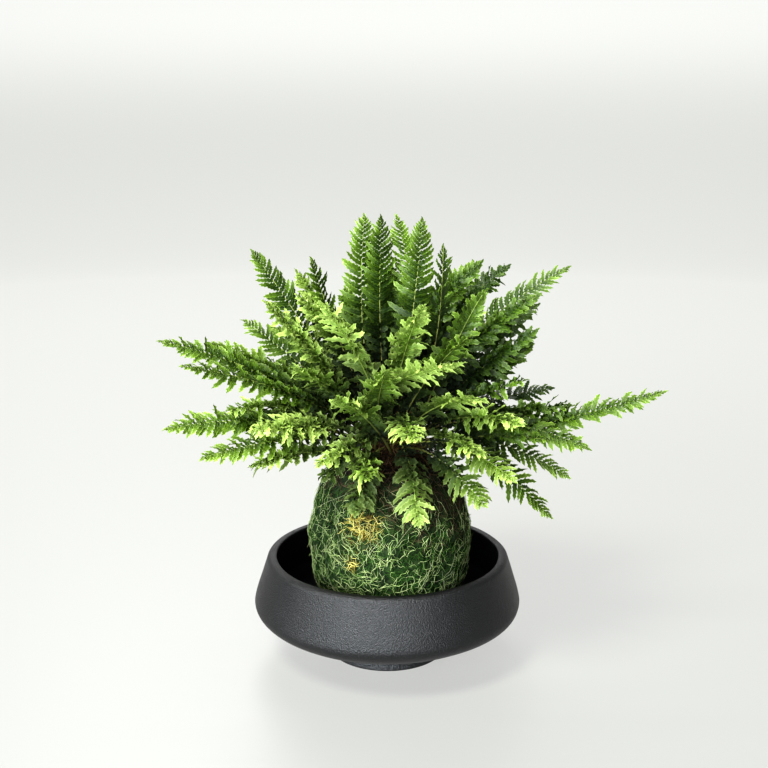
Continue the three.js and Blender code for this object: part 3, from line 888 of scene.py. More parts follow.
def stipe_mesh(frond, youth):
    """A stipe and rib: a tube along the rib that tapers to the tip and is younger towards it."""
    arcs = np.linspace(0, frond["arc"][-1], RIB_RINGS)
    place, side, _, up = along_rib(frond, arcs)
    share = arcs / arcs[-1]
    radius = (0.24 + 0.6 * (1 - share) ** 1.2) * MM
    angles = round_angles(RIB_SIDES)
    ring = side[:, None] * np.cos(angles)[:, None] + up[:, None] * np.sin(angles)[:, None]
    rings = place[:, None] + ring * radius[:, None, None]
    points = np.concatenate([rings.reshape(-1, 3), place[:1], place[-1:]])
    quads, fans = tube_faces(RIB_RINGS, RIB_SIDES, flipped=True)
    share = np.concatenate([np.repeat(share, RIB_SIDES), [0, 1]])
    return {
        "points": points,
        "quads": quads,
        "triangles": fans,
        "quad_kinds": np.full(len(quads), STIPE),
        "triangle_kinds": np.full(len(fans), STIPE),
        "youth": share * 0.6 + youth * 0.4,
        "under": np.zeros(len(points)),
        "inner": np.zeros(len(points)),
        "uv": np.zeros((len(points), 2)),
        "rim": np.zeros(len(points), bool),
    }


def leaflet_row(frond, crowded, settings, way, lag, raised, rng):
    """One row of leaflets along a frond: every one's place, directions and size.

    crowded is 0 for a frond that is flat as a comb, and 1 for a ruffled one, whose leaflets are wider and
    closer together. way is 1 for the right side and -1 for the left, lag shifts the row along the rib, and
    raised is the angle by which it stands up from the blade. The leaflets are closer together towards the
    tip, and every other one stands higher. They reach as far as the plain blade there, and less far below its
    start. Those of a raised row are shorter, and end part of the way to the tip.
    """
    start = frond["blade_start"] - FIRST_LEAFLETS
    blade = frond["arc"][-1] - start
    pairs = max(10, round(blade / (settings.leaflet_pitch * (1.2 - 0.3 * crowded))))
    share = 1 - (1 - (np.arange(pairs) + lag) / pairs) ** CLOSING
    if raised:
        share = share[(share > 0.03) & (share < 0.42 + 0.46 * crowded)]
    count = len(share)
    pitch = CLOSING * (1 - share) ** ((CLOSING - 1) / CLOSING) * blade / pairs
    place, side, ahead, up = along_rib(frond, start + share * blade)
    plain = (start + share * blade - frond["blade_start"]) / (frond["arc"][-1] - frond["blade_start"])
    reach = frond["half_width"] * blade_width(np.maximum(plain, 0)) * (1 + np.minimum(plain, 0) * 4)
    reach = reach * (1 + 0.08 * rng.normal(size=count))
    lean = 0.1 + 0.5 * share**2
    if raised:
        length = reach * (0.5 + 0.12 * crowded)
    else:
        length = reach * settings.leaflet_length * (1.2 - 0.2 * crowded) / np.cos(lean)
    length = np.maximum(length, SHORTEST_LEAFLET)
    width = settings.leaflet_width * (0.52 + 0.48 * crowded) * pitch
    angle = (way * raised + 0.22 * rng.normal(size=count) * (raised > 0))[:, None]
    side = side * way
    return {
        "base": place,
        "side": side * np.cos(angle) + up * np.abs(np.sin(angle)),
        "up": up * np.cos(angle) - side * np.abs(np.sin(angle)),
        "ahead": ahead,
        "length": length,
        "width": np.clip(width, 0.24 * length, 0.66 * length),
        "lean": lean,
        "lift": 0.12 + 0.24 * crowded * (-1.0) ** np.arange(count) + 0.12 * rng.normal(size=count),
        "loose": np.full(count, 0.42 + 0.4 * crowded),
        "share": share,
        "way": np.full(count, way),
    }


def tip_leaflet(frond):
    """The leaflet that ends a frond, along its rib."""
    place, side, ahead, up = along_rib(frond, np.array([frond["arc"][-1] - 1.5 * MM]))
    return {
        "base": place,
        "side": ahead,
        "up": up,
        "ahead": -side,
        "length": np.array([TIP_LEAFLET]),
        "width": np.array([0.45 * TIP_LEAFLET]),
        "lean": np.array([-0.1]),
        "lift": np.array([0.1]),
        "loose": np.array([0.3]),
        "share": np.array([1.0]),
        "way": np.array([1.0]),
    }


def bush_share(points):
    """How far points lie from the crown, as a share of the way to the bush's round outline."""
    return np.linalg.norm((points - CROWN_MIDDLE) / BUSH_REACH, axis=-1)


def leaflet_mesh(pattern, leaflets, youth, ruffle, rng):
    """Leaflets of one pattern. One is younger near the frond's tip, has painted shade near the stipe and at
    its own foot, and a painted highlight towards its own tip.

    Its underside and how deep it lies in the bush, which sets painted shade, are marked too. A leaflet on the
    left is a mirror image, so its faces turn the other way.
    """
    made = leaflet_points(pattern, leaflets, ruffle, rng)
    count, each = made.shape[:2]
    starts = np.arange(count)[:, None, None] * each
    left = leaflets["way"] < 0

    def faces(corners):
        """The faces of every leaflet, from those of one."""
        both = [(starts + corners)[~left], (starts + corners[:, ::-1])[left]]
        return np.concatenate(both).reshape(-1, corners.shape[1])

    quads, triangles = faces(pattern["quads"]), faces(pattern["triangles"])
    along = pattern["row"] / pattern["row"].max()
    share = leaflets["share"]
    # Younger towards the frond's tip, with painted shade near the stipe
    age_and_light = youth + 0.3 * share**1.5 - 0.12 * (1 - share) ** 2 + 0.07 * rng.normal(size=count)
    # Painted shade at each leaflet's foot, where leaflets overlap, and a painted highlight towards its tip
    age_and_light = age_and_light[:, None] + 0.55 * along - 0.3
    return {
        "points": made.reshape(-1, 3),
        "quads": quads,
        "triangles": triangles,
        "quad_kinds": np.full(len(quads), LEAFLET),
        "triangle_kinds": np.full(len(triangles), LEAFLET),
        "youth": age_and_light.ravel(),
        "under": np.tile(pattern["layer"] < 0, count),
        "inner": np.repeat(leaflets["inner"], each),
        "uv": np.tile(np.stack([0.5 + 0.5 * pattern["place"], along], axis=1), (count, 1)),
        "rim": np.tile(pattern["rim"], count),
    }


def joined(meshes):
    """Several meshes as one, with the numbers of the points moved on in the faces."""
    whole = {key: np.concatenate([mesh[key] for mesh in meshes]) for key in meshes[0]}
    starts = np.cumsum([0] + [len(mesh["points"]) for mesh in meshes])
    for faces in ("quads", "triangles"):
        whole[faces] = np.concatenate([mesh[faces] + start for mesh, start in zip(meshes, starts)])
    return whole


def frond_mesh(frond, youth, crowded, settings, rng):
    """One fine frond: its stipe, two rows of leaflets, and two rows of shorter ones that stand up from it.

    After the frond come how young it is, with painted light added, and crowded, how ruffled it is. The longer
    a leaflet is, the more rows of points its pattern has.
    """
    rows = [leaflet_row(frond, crowded, settings, way, lag, raised, rng) for way, lag, raised in ROWS]
    rows.append(tip_leaflet(frond))
    leaflets = {key: np.concatenate([row[key] for row in rows]) for key in rows[0]}
    # Painted shade: the deeper a leaflet lies in the bush, the darker it is painted
    leaflets["inner"] = 1 - smooth_step(0.3, 0.92, bush_share(leaflets["base"]))
    ruffle = settings.ruffle * (0.5 + 0.5 * crowded)
    sort = np.searchsorted([shortest for _, shortest in LEAFLET_PATTERNS], leaflets["length"]) - 1
    parts = [stipe_mesh(frond, youth)]
    for number, (pattern, _) in enumerate(LEAFLET_PATTERNS):
        some = {key: values[sort == number] for key, values in leaflets.items()}
        parts.append(leaflet_mesh(pattern, some, youth, ruffle, rng))
    return joined(parts)


SIDE_REACH = 0.1  # a tip this far to a side gets all of that side's painted light, lighter to the left and front, darker to the right and back

# How young each leading frond is, in the order of their names: 0 is old and dark, 1 is young and lime. Each
# value is partly the frond's own age and partly painted light and shade: higher on the lit left and front,
# lower on the right
YOUTH_AND_LIGHT = (
    *(0.2, 0.1, 0, 0, -0.1, -0.05, -0.05, 0),  # right, from the longest frond round to the top
    *(0.2, 0.05, 0.15, 0, 0, -0.05, 0.1),  # top
    *(0, 0.5, 0.15, 0.7, 0.1, 0.15, 0.3, 0.25, 0.3, 0.3, 0.7),  # left, from the top down
    *(0.3, 0.55, 0.6),  # down over the ball
    *(0.8, 0.7, 0.6, 0.45, 0.6),  # in front
    *(0.35, 0.3, 0.15, 0.5, 0.45),  # low on the right
    *(0.8, 0.65, 0.65, 0.45),  # near the middle
)
COMBS = (2, 8, 9, 10, 11, 12, 13, 14, 16, 18, 20, 35, 36, 38)  # the leading fronds that are flat as a comb
NEAT = (1, 21, 22, 23, 24, 29, 30, 31, 32, 33, 34, 37, 39)  # those whose two rows still show
TURNS = {"frond_09": 42, "frond_10": 28, "frond_11": -48}  # top fronds that show their faces, in degrees


def turned_frond(frond, degrees):
    """A frond with its blade turned round its rib."""
    cosine, sine = math.cos(math.radians(degrees)), math.sin(math.radians(degrees))
    side, up = frond["side"], frond["up"]
    return {**frond, "side": side * cosine + up * sine, "up": up * cosine - side * sine}


def frond_youth_and_light(node, frond, rng):
    """How young a frond is, with painted light added.

    The leading ones are listed, and the rest are lighter to the left and front, where the light falls, as
    painted light.
    """
    drawn = 0.06 * rng.normal()
    kind, number = node.split("_")
    if kind == "frond":
        return YOUTH_AND_LIGHT[int(number) - 1] + drawn
    x, y, _ = frond["rib"][-1] / SIDE_REACH
    return 0.22 - 0.18 * np.clip(x, -1, 1) - 0.2 * np.clip(y, -1, 1) + drawn


def frond_crowded(node):
    """How ruffled a frond is, from 0 for a flat comb to 1."""
    kind, number = node.split("_")
    if kind == "frond" and int(number) in COMBS:
        return 0.05
    if kind == "frond" and int(number) in NEAT:
        return 0.45
    return 0.8


# Strands and their colours


def millimetres(low, high):
    """A range in metres, from one in millimetres."""
    return low * MM, high * MM


@dataclass
class StrandKind:
    """How one kind of strand on the ball looks. Ranges are in metres, bend and wiggle in radians.

    free is how far a strand's end can stand off the ball. count and tilts, a range of degrees up from level,
    are for strands that are spread all round it.
    """

    length: tuple
    width: tuple
    height: tuple
    bend: float
    wiggle: float
    free: float
    colours: tuple
    count: int = 0
    tilts: tuple = (0, 0)


# Each colour is a range, from its darkest to its lightest
DEEP = ((0.003, 0.01, 0.002), (0.014, 0.04, 0.008))
GREEN = ((0.017, 0.055, 0.01), (0.095, 0.225, 0.04))
LIGHT = ((0.3, 0.46, 0.13), (0.85, 0.95, 0.5))
STRAW = ((0.4, 0.34, 0.06), (0.85, 0.78, 0.3))
GOLDEN = ((0.12, 0.08, 0.012), (0.35, 0.26, 0.05))
BROWN = ((0.02, 0.013, 0.007), (0.26, 0.19, 0.11))
PALE = ((0.4, 0.45, 0.24), (0.7, 0.74, 0.48))
ROOT_HAIR = (BROWN[0], (0.3, 0.2, 0.1))
OLD_STIPE = ((0.03, 0.017, 0.008), (0.16, 0.1, 0.05))

STRAND_STEPS = 4
STRAND_KINDS = {
    "moss_strands_deep": StrandKind(
        count=1700,
        tilts=(-50, 66),
        length=millimetres(8, 18),
        width=millimetres(0.4, 0.7),
        height=millimetres(-0.3, 0.6),
        bend=0.8,
        wiggle=1.4,
        free=0.0,
        colours=DEEP,
    ),
    "moss_strands_green": StrandKind(
        count=4200,
        tilts=(-50, 64),
        length=millimetres(5, 13),
        width=millimetres(0.24, 0.4),
        height=millimetres(0.2, 1.3),
        bend=1.0,
        wiggle=2.0,
        free=1.2 * MM,
        colours=GREEN,
    ),
    "moss_strands_light": StrandKind(
        count=2800,
        tilts=(-48, 60),
        length=millimetres(4, 12),
        width=millimetres(0.2, 0.34),
        height=millimetres(0.8, 1.8),
        bend=1.2,
        wiggle=2.4,
        free=2.2 * MM,
        colours=LIGHT,
    ),
    "moss_strands_long": StrandKind(
        count=80,
        tilts=(-40, 50),
        length=millimetres(16, 34),
        width=millimetres(0.26, 0.36),
        height=millimetres(1.4, 2.1),
        bend=0.5,
        wiggle=0.4,
        free=2.4 * MM,
        colours=PALE,
    ),
}
STRAW_KIND = StrandKind(
    length=millimetres(4, 10),
    width=millimetres(0.3, 0.55),
    height=millimetres(1.2, 2.0),
    bend=2.0,
    wiggle=2.6,
    free=1.0 * MM,
    colours=STRAW,
)

# Patches of another colour on the ball: degrees round from the front, degrees up, reach in degrees, how much
# of the moss there takes the colour, and the colour
PATCHES = (
    (-19, 27, 9, 0.85, GOLDEN),
    (-28, 1, 4, 0.85, GOLDEN),
    (52, 42, 24, 0.75, BROWN),
    (6, 56, 27, 0.8, BROWN),
    (-42, 9, 9, 0.5, LIGHT),
    (-5, 12, 8, 0.4, LIGHT),
)

# Straw on the ball: degrees round from the front, degrees up, reach in degrees and how many strands
STRAW_PATCHES = ((-20, 27, 10.5, 70), (-28, 1, 4, 12))


def heading_of(round_front, up):
    """The unit heading from the ball's middle at degrees round from the front and degrees up."""
    angle, tilt = np.radians(round_front), np.radians(up)
    return np.stack([np.cos(tilt) * np.sin(angle), -np.cos(tilt) * np.cos(angle), np.sin(tilt)], axis=-1)


def between(colours, share):
    """A colour for each share of the way through a range of colours."""
    low, high = np.array(colours[0]), np.array(colours[1])
    return low + (high - low) * share


def tints(headings, colours, rng):
    """A colour for each strand: its kind's or its patch's, brown at the crown, and painted shade to both
    sides.
    """
    share = rng.uniform(size=(len(headings), 1))
    found = between(colours, share)
    if colours is STRAW:
        return found
    for round_front, up, reach, strength, patch in PATCHES:
        off = np.degrees(np.arccos(np.clip(headings @ heading_of(round_front, up), -1, 1)))
        inside = rng.uniform(size=len(headings)) < strength * np.exp(-((off / reach) ** 2))
        found[inside] = between(patch, share)[inside]
    x, height = headings[:, 0], headings[:, 2]
    inside = rng.uniform(size=len(headings)) < smooth_step(0.6, 0.85, height) * 0.8
    found[inside] = between(BROWN, share)[inside]
    # Painted shade: strands towards the ball's left and right sides are darkened
    shade = 1 - 0.35 * smooth_step(0.2, 0.9, x) - 0.35 * smooth_step(0.1, 0.7, -x)
    return found * shade[:, None]


def straw_starts(rng):
    """Headings of the straw, spread at random over its patches."""
    starts = []
    for round_front, up, reach, count in STRAW_PATCHES:
        off = reach * np.sqrt(rng.uniform(0, 1, count))
        way = rng.uniform(0, 2 * math.pi, count)
        angle = round_front + off * np.cos(way) / math.cos(math.radians(up))
        starts.append(heading_of(angle, up + 0.85 * off * np.sin(way)))
    return np.concatenate(starts)


def ball_starts(kind, rng, fullness):
    """Headings spread evenly over the ball between a kind's tilts; fullness is the share of its strands."""
    low, high = np.sin(np.radians(kind.tilts))
    count = round(fullness * kind.count)
    rise = rng.uniform(low, high, count)
    angle = rng.uniform(0, 2 * math.pi, count)
    level = np.sqrt(1 - rise**2)
    return np.stack([level * np.cos(angle), level * np.sin(angle), rise], axis=1)


def strand_piece(kind, starts, rng):
    """The points, faces and colours of strands of one kind, each a low arch that wanders over the ball."""
    count = len(starts)
    share = np.linspace(0, 1, STRAND_STEPS + 1)
    lengths = rng.uniform(*kind.length, count)
    widths = rng.uniform(*kind.width, count)
    base = rng.uniform(*kind.height, count)[:, None]
    arch = rng.uniform(0, 0.5 * MM, count)[:, None] * np.sin(math.pi * share)
    free = kind.free * rng.uniform(0, 1, count)[:, None] ** 3 * smooth_step(0.55, 1, share)
    paths = wandering_paths(rng, starts, lengths, STRAND_STEPS, kind.bend, kind.wiggle, base + arch + free)
    points, faces, each = strand_tubes(paths, tapered(widths, STRAND_STEPS))
    return points, faces, np.repeat(tints(starts, kind.colours, rng), each, axis=0)


# Soil and crown

CROWN_LUMPS = Waves(8, 9 * MM)
CROWN_KNOBS = Waves(9, 3.2 * MM)
CRUMBS = Waves(10, 3.0 * MM)


def soil_surface():
    """The soil: the hollow's outline drawn in a little, with a crumbly flat top."""
    bottom = MOSS_BOTTOM + MOSS_THICKNESS + SOIL_ROOM
    level = SOIL_TOP - 0.3 * MM
    tilts = np.linspace(-math.pi / 2, math.radians(52), 40)[1:]
    headings = headings_at(0 * tilts, tilts)
    reach = ball_reach(headings) - MOSS_THICKNESS - SOIL_ROOM
    side = np.stack([headings[:, 0] * reach, BALL_MIDDLE + headings[:, 2] * reach], axis=1)
    side[:, 1] = np.maximum(side[:, 1], bottom)
    radii = np.linspace(side[-1, 0] - 1.5 * MM, 0.4 * MM, 30)
    top = np.stack([radii, np.full(len(radii), level)], axis=1)
    points, faces = lathe(np.concatenate([[[0, bottom]], side, top, [[0, level]]]), sides=110)
    upper = smooth_step(SOIL_TOP - 3 * MM, SOIL_TOP - MM, points[:, 2])
    points[:, 2] += 0.45 * MM * CRUMBS(points) * upper
    return points + [BALL_X, 0, 0], faces


def crown_surface():
    """The crown: a dome on the soil, pushed in and out into lumps and knobs."""
    middle = CROWN_MIDDLE[2]
    tilts = np.linspace(0, math.pi / 2, 30)[:-1]
    rise = (CROWN_TOP - middle) * np.sin(tilts)
    dome = np.stack([CROWN_RADIUS * np.cos(tilts), middle + rise], axis=1)
    foot = [
        [0, CROWN_BOTTOM],
        [9 * MM, CROWN_BOTTOM],
        [13 * MM, CROWN_BOTTOM],
        [CROWN_RADIUS, CROWN_BOTTOM + 3 * MM],
    ]
    points, faces = lathe(np.concatenate([foot, dome, [[0, CROWN_TOP]]]), sides=96)
    out = unit(points - [0, 0, middle - 4 * MM])
    lumps = 0.9 * MM * CROWN_LUMPS(points) + 0.5 * MM * CROWN_KNOBS(points)
    free = smooth_step(CROWN_BOTTOM, CROWN_BOTTOM + 2 * MM, points[:, 2])
    return points + out * (lumps * free)[:, None] + [BALL_X, 0, 0], faces


def ground_height(points):
    """The height of the soil, or of the ball outside its mouth, under points near the crown."""
    radius = np.minimum(np.linalg.norm(points[..., :2] - [BALL_X, 0], axis=-1), BALL_RADIUS - MM)
    return np.where(radius < MOSS_MOUTH, SOIL_TOP, BALL_MIDDLE + ball_height(radius) - STRAND_ROOM)


def crown_fibres(rng, count):
    """Root hairs from the crown's side out over the soil, each a curve that sags on to the ground."""
    steps = 6
    angle = rng.uniform(0, 2 * math.pi, count)
    tilt = rng.uniform(-0.1, 1.2, count)
    out = headings_at(angle, tilt)
    around = np.stack([-np.sin(angle), np.cos(angle), 0 * angle], axis=1)
    level = out * [1, 1, 0.3]
    start = CROWN_MIDDLE + out * [14 * MM, 14 * MM, 13.5 * MM]
    share = np.linspace(0, 1, steps + 1)[None, :, None]
    length = rng.uniform(7 * MM, 24 * MM, count)[:, None, None]
    sideways = rng.normal(0, 0.7, count)[:, None, None]
    swing = rng.normal(0, 0.35, count)[:, None, None]
    aside = sideways * share + swing * np.sin(4 * share)
    paths = start[:, None] + length * (level[:, None] * share + around[:, None] * aside)
    sag = rng.uniform(0.2, 1.0, count)[:, None, None]
    paths[..., 2] -= (length * sag * share**1.6)[..., 0]
    lowest = ground_height(paths) + rng.uniform(0.4 * MM, 1.6 * MM, count)[:, None]
    paths[..., 2] = np.maximum(paths[..., 2], lowest)
    widths = rng.uniform(0.25 * MM, 0.6 * MM, count)
    points, faces, each = strand_tubes(paths, tapered(widths, steps))
    colour = between(ROOT_HAIR, rng.uniform(0, 1, (count, 1)) ** 2)
    return points, faces, np.repeat(colour, each, axis=0)


def old_stipes(rng, count):
    """Stubs of old stipes on the crown, each a short thick taper."""
    angle = rng.uniform(0, 2 * math.pi, count)
    tilt = rng.uniform(0.2, 1.4, count)
    out = headings_at(angle, tilt)
    share = np.linspace(0, 1, 5)[None, :, None]
    bend = rng.normal(0, 1.5 * MM, (count, 1, 3))
    length = rng.uniform(5 * MM, 12 * MM, count)[:, None, None]
    paths = CROWN_MIDDLE + out[:, None] * (11 * MM + length * share) + bend * share**2
    radii = rng.uniform(0.6 * MM, 1.1 * MM, count)[:, None] * (1 - 0.35 * share[..., 0])
    points, faces, each = strand_tubes(paths, radii, sides=6)
    colour = between(OLD_STIPE, rng.uniform(0, 1, (count, 1)))
    return points, faces, np.repeat(colour, each, axis=0)


# Settings


class BowlSettings(bpy.types.PropertyGroup):
    """The bowl's finish."""

    colour: FloatVectorProperty(
        name="Colour",
        description="Colour of the stoneware",
        size=3,
        subtype="COLOR",
        default=(0.0025, 0.0026, 0.003),
    )
    roughness: FloatProperty(
        name="Roughness", description="How matt the stoneware is", default=0.42, min=0, max=1
    )


class MossSettings(bpy.types.PropertyGroup):
    """The strands on the ball and round the crown."""

    fullness: FloatProperty(
        name="Fullness", description="How many strands, as a share of all", default=1, min=0, max=1
    )
    fibres: IntProperty(name="Root hairs", description="Brown hairs round the crown", default=520, min=0)
    stubs: IntProperty(name="Old stipes", description="Stubs of old stipes on the crown", default=34, min=0)
    seed: IntProperty(name="Seed", description="Start of the random draws", default=21)


class FernSettings(bpy.types.PropertyGroup):
    """The leaflets and their colours."""

    leaflet_pitch: FloatProperty(
        name="Leaflet pitch",
        description="Mean distance between leaflets",
        default=3.1 * MM,
        unit="LENGTH",
        precision=4,
    )
    leaflet_width: FloatProperty(
        name="Leaflet width",
        description="Width of a leaflet, as a share of the pitch there",
        default=1.55,
        min=0.5,
        max=3,
    )
    leaflet_length: FloatProperty(
        name="Leaflet length",
        description="Length of a leaflet, as a share of the plain one's reach",
        default=1.1,
        min=0.5,
    )
    ruffle: FloatProperty(
        name="Ruffle",
        description="How far a leaflet's rim waves, as a share of its width",
        default=0.22,
        min=0,
        max=1,
    )
    old: FloatVectorProperty(
        name="Old",
        description="Colour of old leaflets",
        size=3,
        subtype="COLOR",
        default=(0.02, 0.046, 0.003),
    )
    middle: FloatVectorProperty(
        name="Middle",
        description="Colour of grown leaflets",
        size=3,
        subtype="COLOR",
        default=(0.122, 0.205, 0.016),
    )
    young: FloatVectorProperty(
        name="Young",
        description="Colour of young leaflets",
        size=3,
        subtype="COLOR",
        default=(0.46, 0.6, 0.17),
    )
    seed: IntProperty(name="Seed", description="Start of the random draws", default=4)


class StageSettings(bpy.types.PropertyGroup):
    """The floor and the light."""

    floor: FloatVectorProperty(
        name="Floor", description="Colour of the floor", size=3, subtype="COLOR", default=(0.08, 0.083, 0.077)
    )
    glow: FloatProperty(
        name="Glow", description="Light of the floor itself, which softens shadows", default=0.405, min=0
    )
    sky: FloatProperty(name="Sky", description="Strength of the light all round", default=0.15, min=0)


SETTINGS = {
    "kokedama_bowl": BowlSettings,
    "kokedama_moss": MossSettings,
    "kokedama_fern": FernSettings,
    "kokedama_stage": StageSettings,
}


# Pieces

# Added to the moss's seed, so that these pieces have draws of their own
STRAW_DRAWS = 50
CROWN_DRAWS = 80


def build_strands(name, strands, finish):
    """Make a piece that covers another from its strands' points, faces and colours."""
    points, faces, colours = strands
    build(name, [], points, faces, [finish], marks={"tint": colours})


class KOKEDAMA_OT_bowl(bpy.types.Operator):
    """Build the bowl"""

    bl_idname = "kokedama.bowl"
    bl_label = "Bowl"

    def execute(self, context):
        settings = context.scene.kokedama_bowl
        points, faces = bowl_surface()
        finish = stoneware_finish(settings.colour, settings.roughness)
        build("stoneware_bowl", ["bowl"], points, faces, [finish])
        return {"FINISHED"}


class KOKEDAMA_OT_moss(bpy.types.Operator):
    """Build the moss ball and the strands on it"""

    bl_idname = "kokedama.moss"
    bl_label = "Moss"

    def execute(self, context):
        settings = context.scene.kokedama_moss
        points, faces = moss_surface()
        build("moss_body", ["moss_wrap"], points, faces, [moss_finish()])
        finish = strand_finish("moss strand", 0.75)
        for number, (name, kind) in enumerate(STRAND_KINDS.items()):
            rng = np.random.default_rng(settings.seed + number)
            starts = ball_starts(kind, rng, settings.fullness)
            build_strands(name, strand_piece(kind, starts, rng), finish)
        return {"FINISHED"}


class KOKEDAMA_OT_straw(bpy.types.Operator):
    """Build the straw-coloured strands, which lie in patches"""

    bl_idname = "kokedama.straw"
    bl_label = "Straw"

    def execute(self, context):
        rng = np.random.default_rng(context.scene.kokedama_moss.seed + STRAW_DRAWS)
        straw = strand_piece(STRAW_KIND, straw_starts(rng), rng)
        build_strands("moss_straw", straw, strand_finish("straw", 0.6))
        return {"FINISHED"}


class KOKEDAMA_OT_soil(bpy.types.Operator):
    """Build the soil in the moss"""

    bl_idname = "kokedama.soil"
    bl_label = "Soil"

    def execute(self, context):
        points, faces = soil_surface()
        build("soil_core", ["soil_ball"], points, faces, [soil_finish()])
        return {"FINISHED"}


class KOKEDAMA_OT_crown(bpy.types.Operator):
    """Build the crown, its root hairs and its old stipes"""

    bl_idname = "kokedama.crown"
    bl_label = "Crown"

    def execute(self, context):
        settings = context.scene.kokedama_moss
        rng = np.random.default_rng(settings.seed + CROWN_DRAWS)
        points, faces = crown_surface()
        build("rootstock", ["crown"], points, faces, [crown_finish()])
        finish = strand_finish("root hair", 0.85)
        build_strands("root_hairs", crown_fibres(rng, settings.fibres), finish)
        build_strands("old_stipes", old_stipes(rng, settings.stubs), finish)
        return {"FINISHED"}


class KOKEDAMA_OT_fronds(bpy.types.Operator):
    """Build every frond, each read from its plain solid"""

    bl_idname = "kokedama.fronds"
    bl_label = "Fronds"

    def execute(self, context):
        settings = context.scene.kokedama_fern
        finishes = [leaf_finish(settings.old, settings.middle, settings.young), stipe_finish()]
        nodes = sorted(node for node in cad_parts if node.startswith(("frond_", "tuft_")))
        for number, node in enumerate(nodes):
            rng = np.random.default_rng([settings.seed, number])
            crowded = frond_crowded(node)
            meshes = []
            for places, root in separate_fronds(node):
                frond = turned_frond(read_frond(places, root), TURNS.get(node, 0))
                meshes.append(frond_mesh(frond, frond_youth_and_light(node, frond, rng), crowded, settings, rng))
            whole = joined(meshes)
            build(
                "fern_" + node,
                [node],
                whole["points"],
                [whole["quads"], whole["triangles"]],
                finishes,
                uv=whole["uv"],
                marks={name: whole[name] for name in ("youth", "under", "inner")},
                kinds=np.concatenate([whole["quad_kinds"], whole["triangle_kinds"]]),
                sharp=whole["rim"],
            )
        return {"FINISHED"}


# Stage

FLOOR_RADIUS = 1.7
FLOOR_SIDES = 128
COVE_RADIUS = 0.8
WALL_RADIUS = FLOOR_RADIUS + COVE_RADIUS
WALL_HEIGHT = 1.4

# Soft lights: name, place, where it points, width and height in metres, power in watts and colour
LIGHTS = (
    ("key", (-0.55, -0.75, 1.4), (0, 0, 0.15), (0.45, 0.45), 32, (1.0, 0.99, 0.96)),
    ("window", (-0.6, -1.35, 0.5), (0, 0, 0.05), (1.3, 0.4), 44, (0.88, 0.94, 1.0)),
    ("back", (-0.35, 1.4, 1.3), (0, 0, 0.15), (0.8, 0.8), 9, (1.0, 1.0, 1.0)),
    ("wall wash", (0, 0.9, 2.0), (0, 2.6, 0.7), (1.6, 1.0), 62, (1.0, 1.0, 1.0)),
)


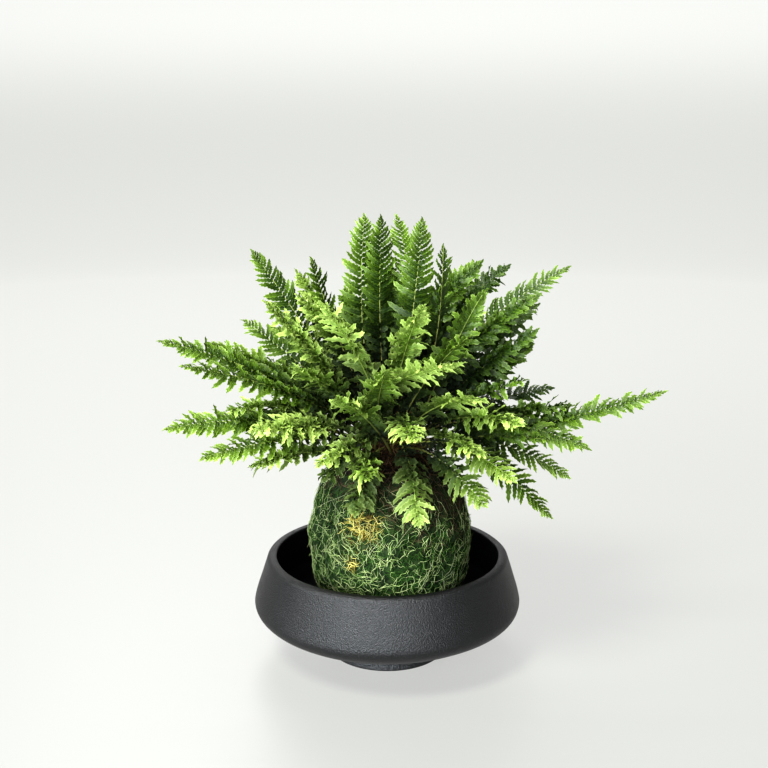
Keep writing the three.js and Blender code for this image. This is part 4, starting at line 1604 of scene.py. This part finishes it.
class KOKEDAMA_OT_stage(bpy.types.Operator):
    """Build the floor, the soft lights and the camera"""

    bl_idname = "kokedama.stage"
    bl_label = "Stage"

    def execute(self, context):
        scene = context.scene
        settings = scene.kokedama_stage
        self.add_floor(settings.floor, settings.glow)
        self.add_sky(scene, settings.sky)
        for name, place, target, size, power, colour in LIGHTS:
            self.add_light(name, Vector(place), Vector(target), size, power, colour)
        self.add_camera(scene)
        scene.view_settings.view_transform = "Standard"
        scene.view_settings.look = "High Contrast"
        return {"FINISHED"}

    def add_camera(self, scene):
        """The camera, level from side to side and tilted down."""
        lens = bpy.data.cameras.new("camera")
        lens.sensor_width = SENSOR
        lens.lens = SENSOR * FOCAL_POINTS / PICTURE_WIDTH
        lens.clip_start = 0.05
        lens.clip_end = 20
        camera = bpy.data.objects.new("camera", lens)
        camera.location = CAMERA_PLACE
        camera.rotation_euler = (math.pi / 2 - CAMERA_TILT, 0, 0)
        scene.collection.objects.link(camera)
        scene.camera = camera

    def add_floor(self, colour, glow):
        """The floor: a disc whose edge curves up into a low round wall.

        It gives a little light of its own, less on the wall, which softens the shadow on it.
        """
        cove = bezier(
            (FLOOR_RADIUS, 0),
            (FLOOR_RADIUS + 0.55 * COVE_RADIUS, 0),
            (WALL_RADIUS, 0.45 * COVE_RADIUS),
            (WALL_RADIUS, COVE_RADIUS),
            24,
        )
        ring = np.concatenate([[[0.3, 0], [0.8, 0], [FLOOR_RADIUS, 0]], cove, [[WALL_RADIUS, WALL_HEIGHT]]])
        points = np.concatenate([turned_rings(ring, FLOOR_SIDES), [[0, 0, 0]]])
        outer = ring_quads(len(ring), FLOOR_SIDES)[:, ::-1]
        middle = fan(0, FLOOR_SIDES, len(points) - 1, True)
        mesh = bpy.data.meshes.new("floor")
        mesh.from_pydata(points.tolist(), [], outer.tolist() + middle.tolist())
        mesh.shade_smooth()
        paint = Paint("floor")
        height = paint.node("ShaderNodeSeparateXYZ", {}, {0: paint.place()}, out=2)
        up_wall = paint.fade(0.02, 0.5, height)
        surface = {
            "Base Color": (*colour, 1),
            "Roughness": 0.42,
            "Specular IOR Level": 0.35,
            "Emission Color": paint.mix(up_wall, (1.0, 1.0, 0.98), (0.9, 0.9, 0.88)),
            "Emission Strength": glow,
        }
        mesh.materials.append(paint.finish(surface))
        floor = bpy.data.objects.new("floor", mesh)
        bpy.context.scene.collection.objects.link(floor)

    def add_sky(self, scene, strength):
        """An even pale light from all round."""
        world = bpy.data.worlds.new("sky")
        world.use_nodes = True
        background = world.node_tree.nodes["Background"]
        background.inputs["Color"].default_value = (0.93, 0.96, 1.0, 1)
        background.inputs["Strength"].default_value = strength
        scene.world = world

    def add_light(self, name, place, target, size, power, colour):
        """A soft rectangular light that faces a point."""
        light = bpy.data.lights.new(name, "AREA")
        light.shape = "RECTANGLE"
        light.size, light.size_y = size
        light.energy = power
        light.color = colour
        lamp = bpy.data.objects.new(name, light)
        lamp.location = place
        lamp.rotation_euler = (target - place).to_track_quat("-Z", "Y").to_euler()
        bpy.context.scene.collection.objects.link(lamp)


class KOKEDAMA_PT_pieces(bpy.types.Panel):
    """The pieces and their settings"""

    bl_idname = "KOKEDAMA_PT_pieces"
    bl_label = "Kokedama"
    bl_space_type = "VIEW_3D"
    bl_region_type = "UI"
    bl_category = "Kokedama"

    def draw(self, context):
        for name, group in SETTINGS.items():
            box = self.layout.box()
            for key in group.__annotations__:
                box.prop(getattr(context.scene, name), key)
        for operator in OPERATORS:
            self.layout.operator(operator.bl_idname)


OPERATORS = (
    KOKEDAMA_OT_bowl,
    KOKEDAMA_OT_moss,
    KOKEDAMA_OT_straw,
    KOKEDAMA_OT_soil,
    KOKEDAMA_OT_crown,
    KOKEDAMA_OT_fronds,
    KOKEDAMA_OT_stage,
)
CLASSES = (*SETTINGS.values(), *OPERATORS, KOKEDAMA_PT_pieces)


def register():
    """Register the classes and give the scene its settings."""
    for kind in CLASSES:
        bpy.utils.register_class(kind)
    for name, group in SETTINGS.items():
        setattr(bpy.types.Scene, name, PointerProperty(type=group))


def unregister():
    """Take the settings and the classes away again."""
    for name in SETTINGS:
        delattr(bpy.types.Scene, name)
    for kind in reversed(CLASSES):
        bpy.utils.unregister_class(kind)


def main():
    """Build every piece in order."""
    register()
    bpy.ops.kokedama.bowl()
    bpy.ops.kokedama.moss()
    bpy.ops.kokedama.straw()
    bpy.ops.kokedama.soil()
    bpy.ops.kokedama.crown()
    bpy.ops.kokedama.fronds()
    bpy.ops.kokedama.stage()


if __name__ == "__main__":
    main()
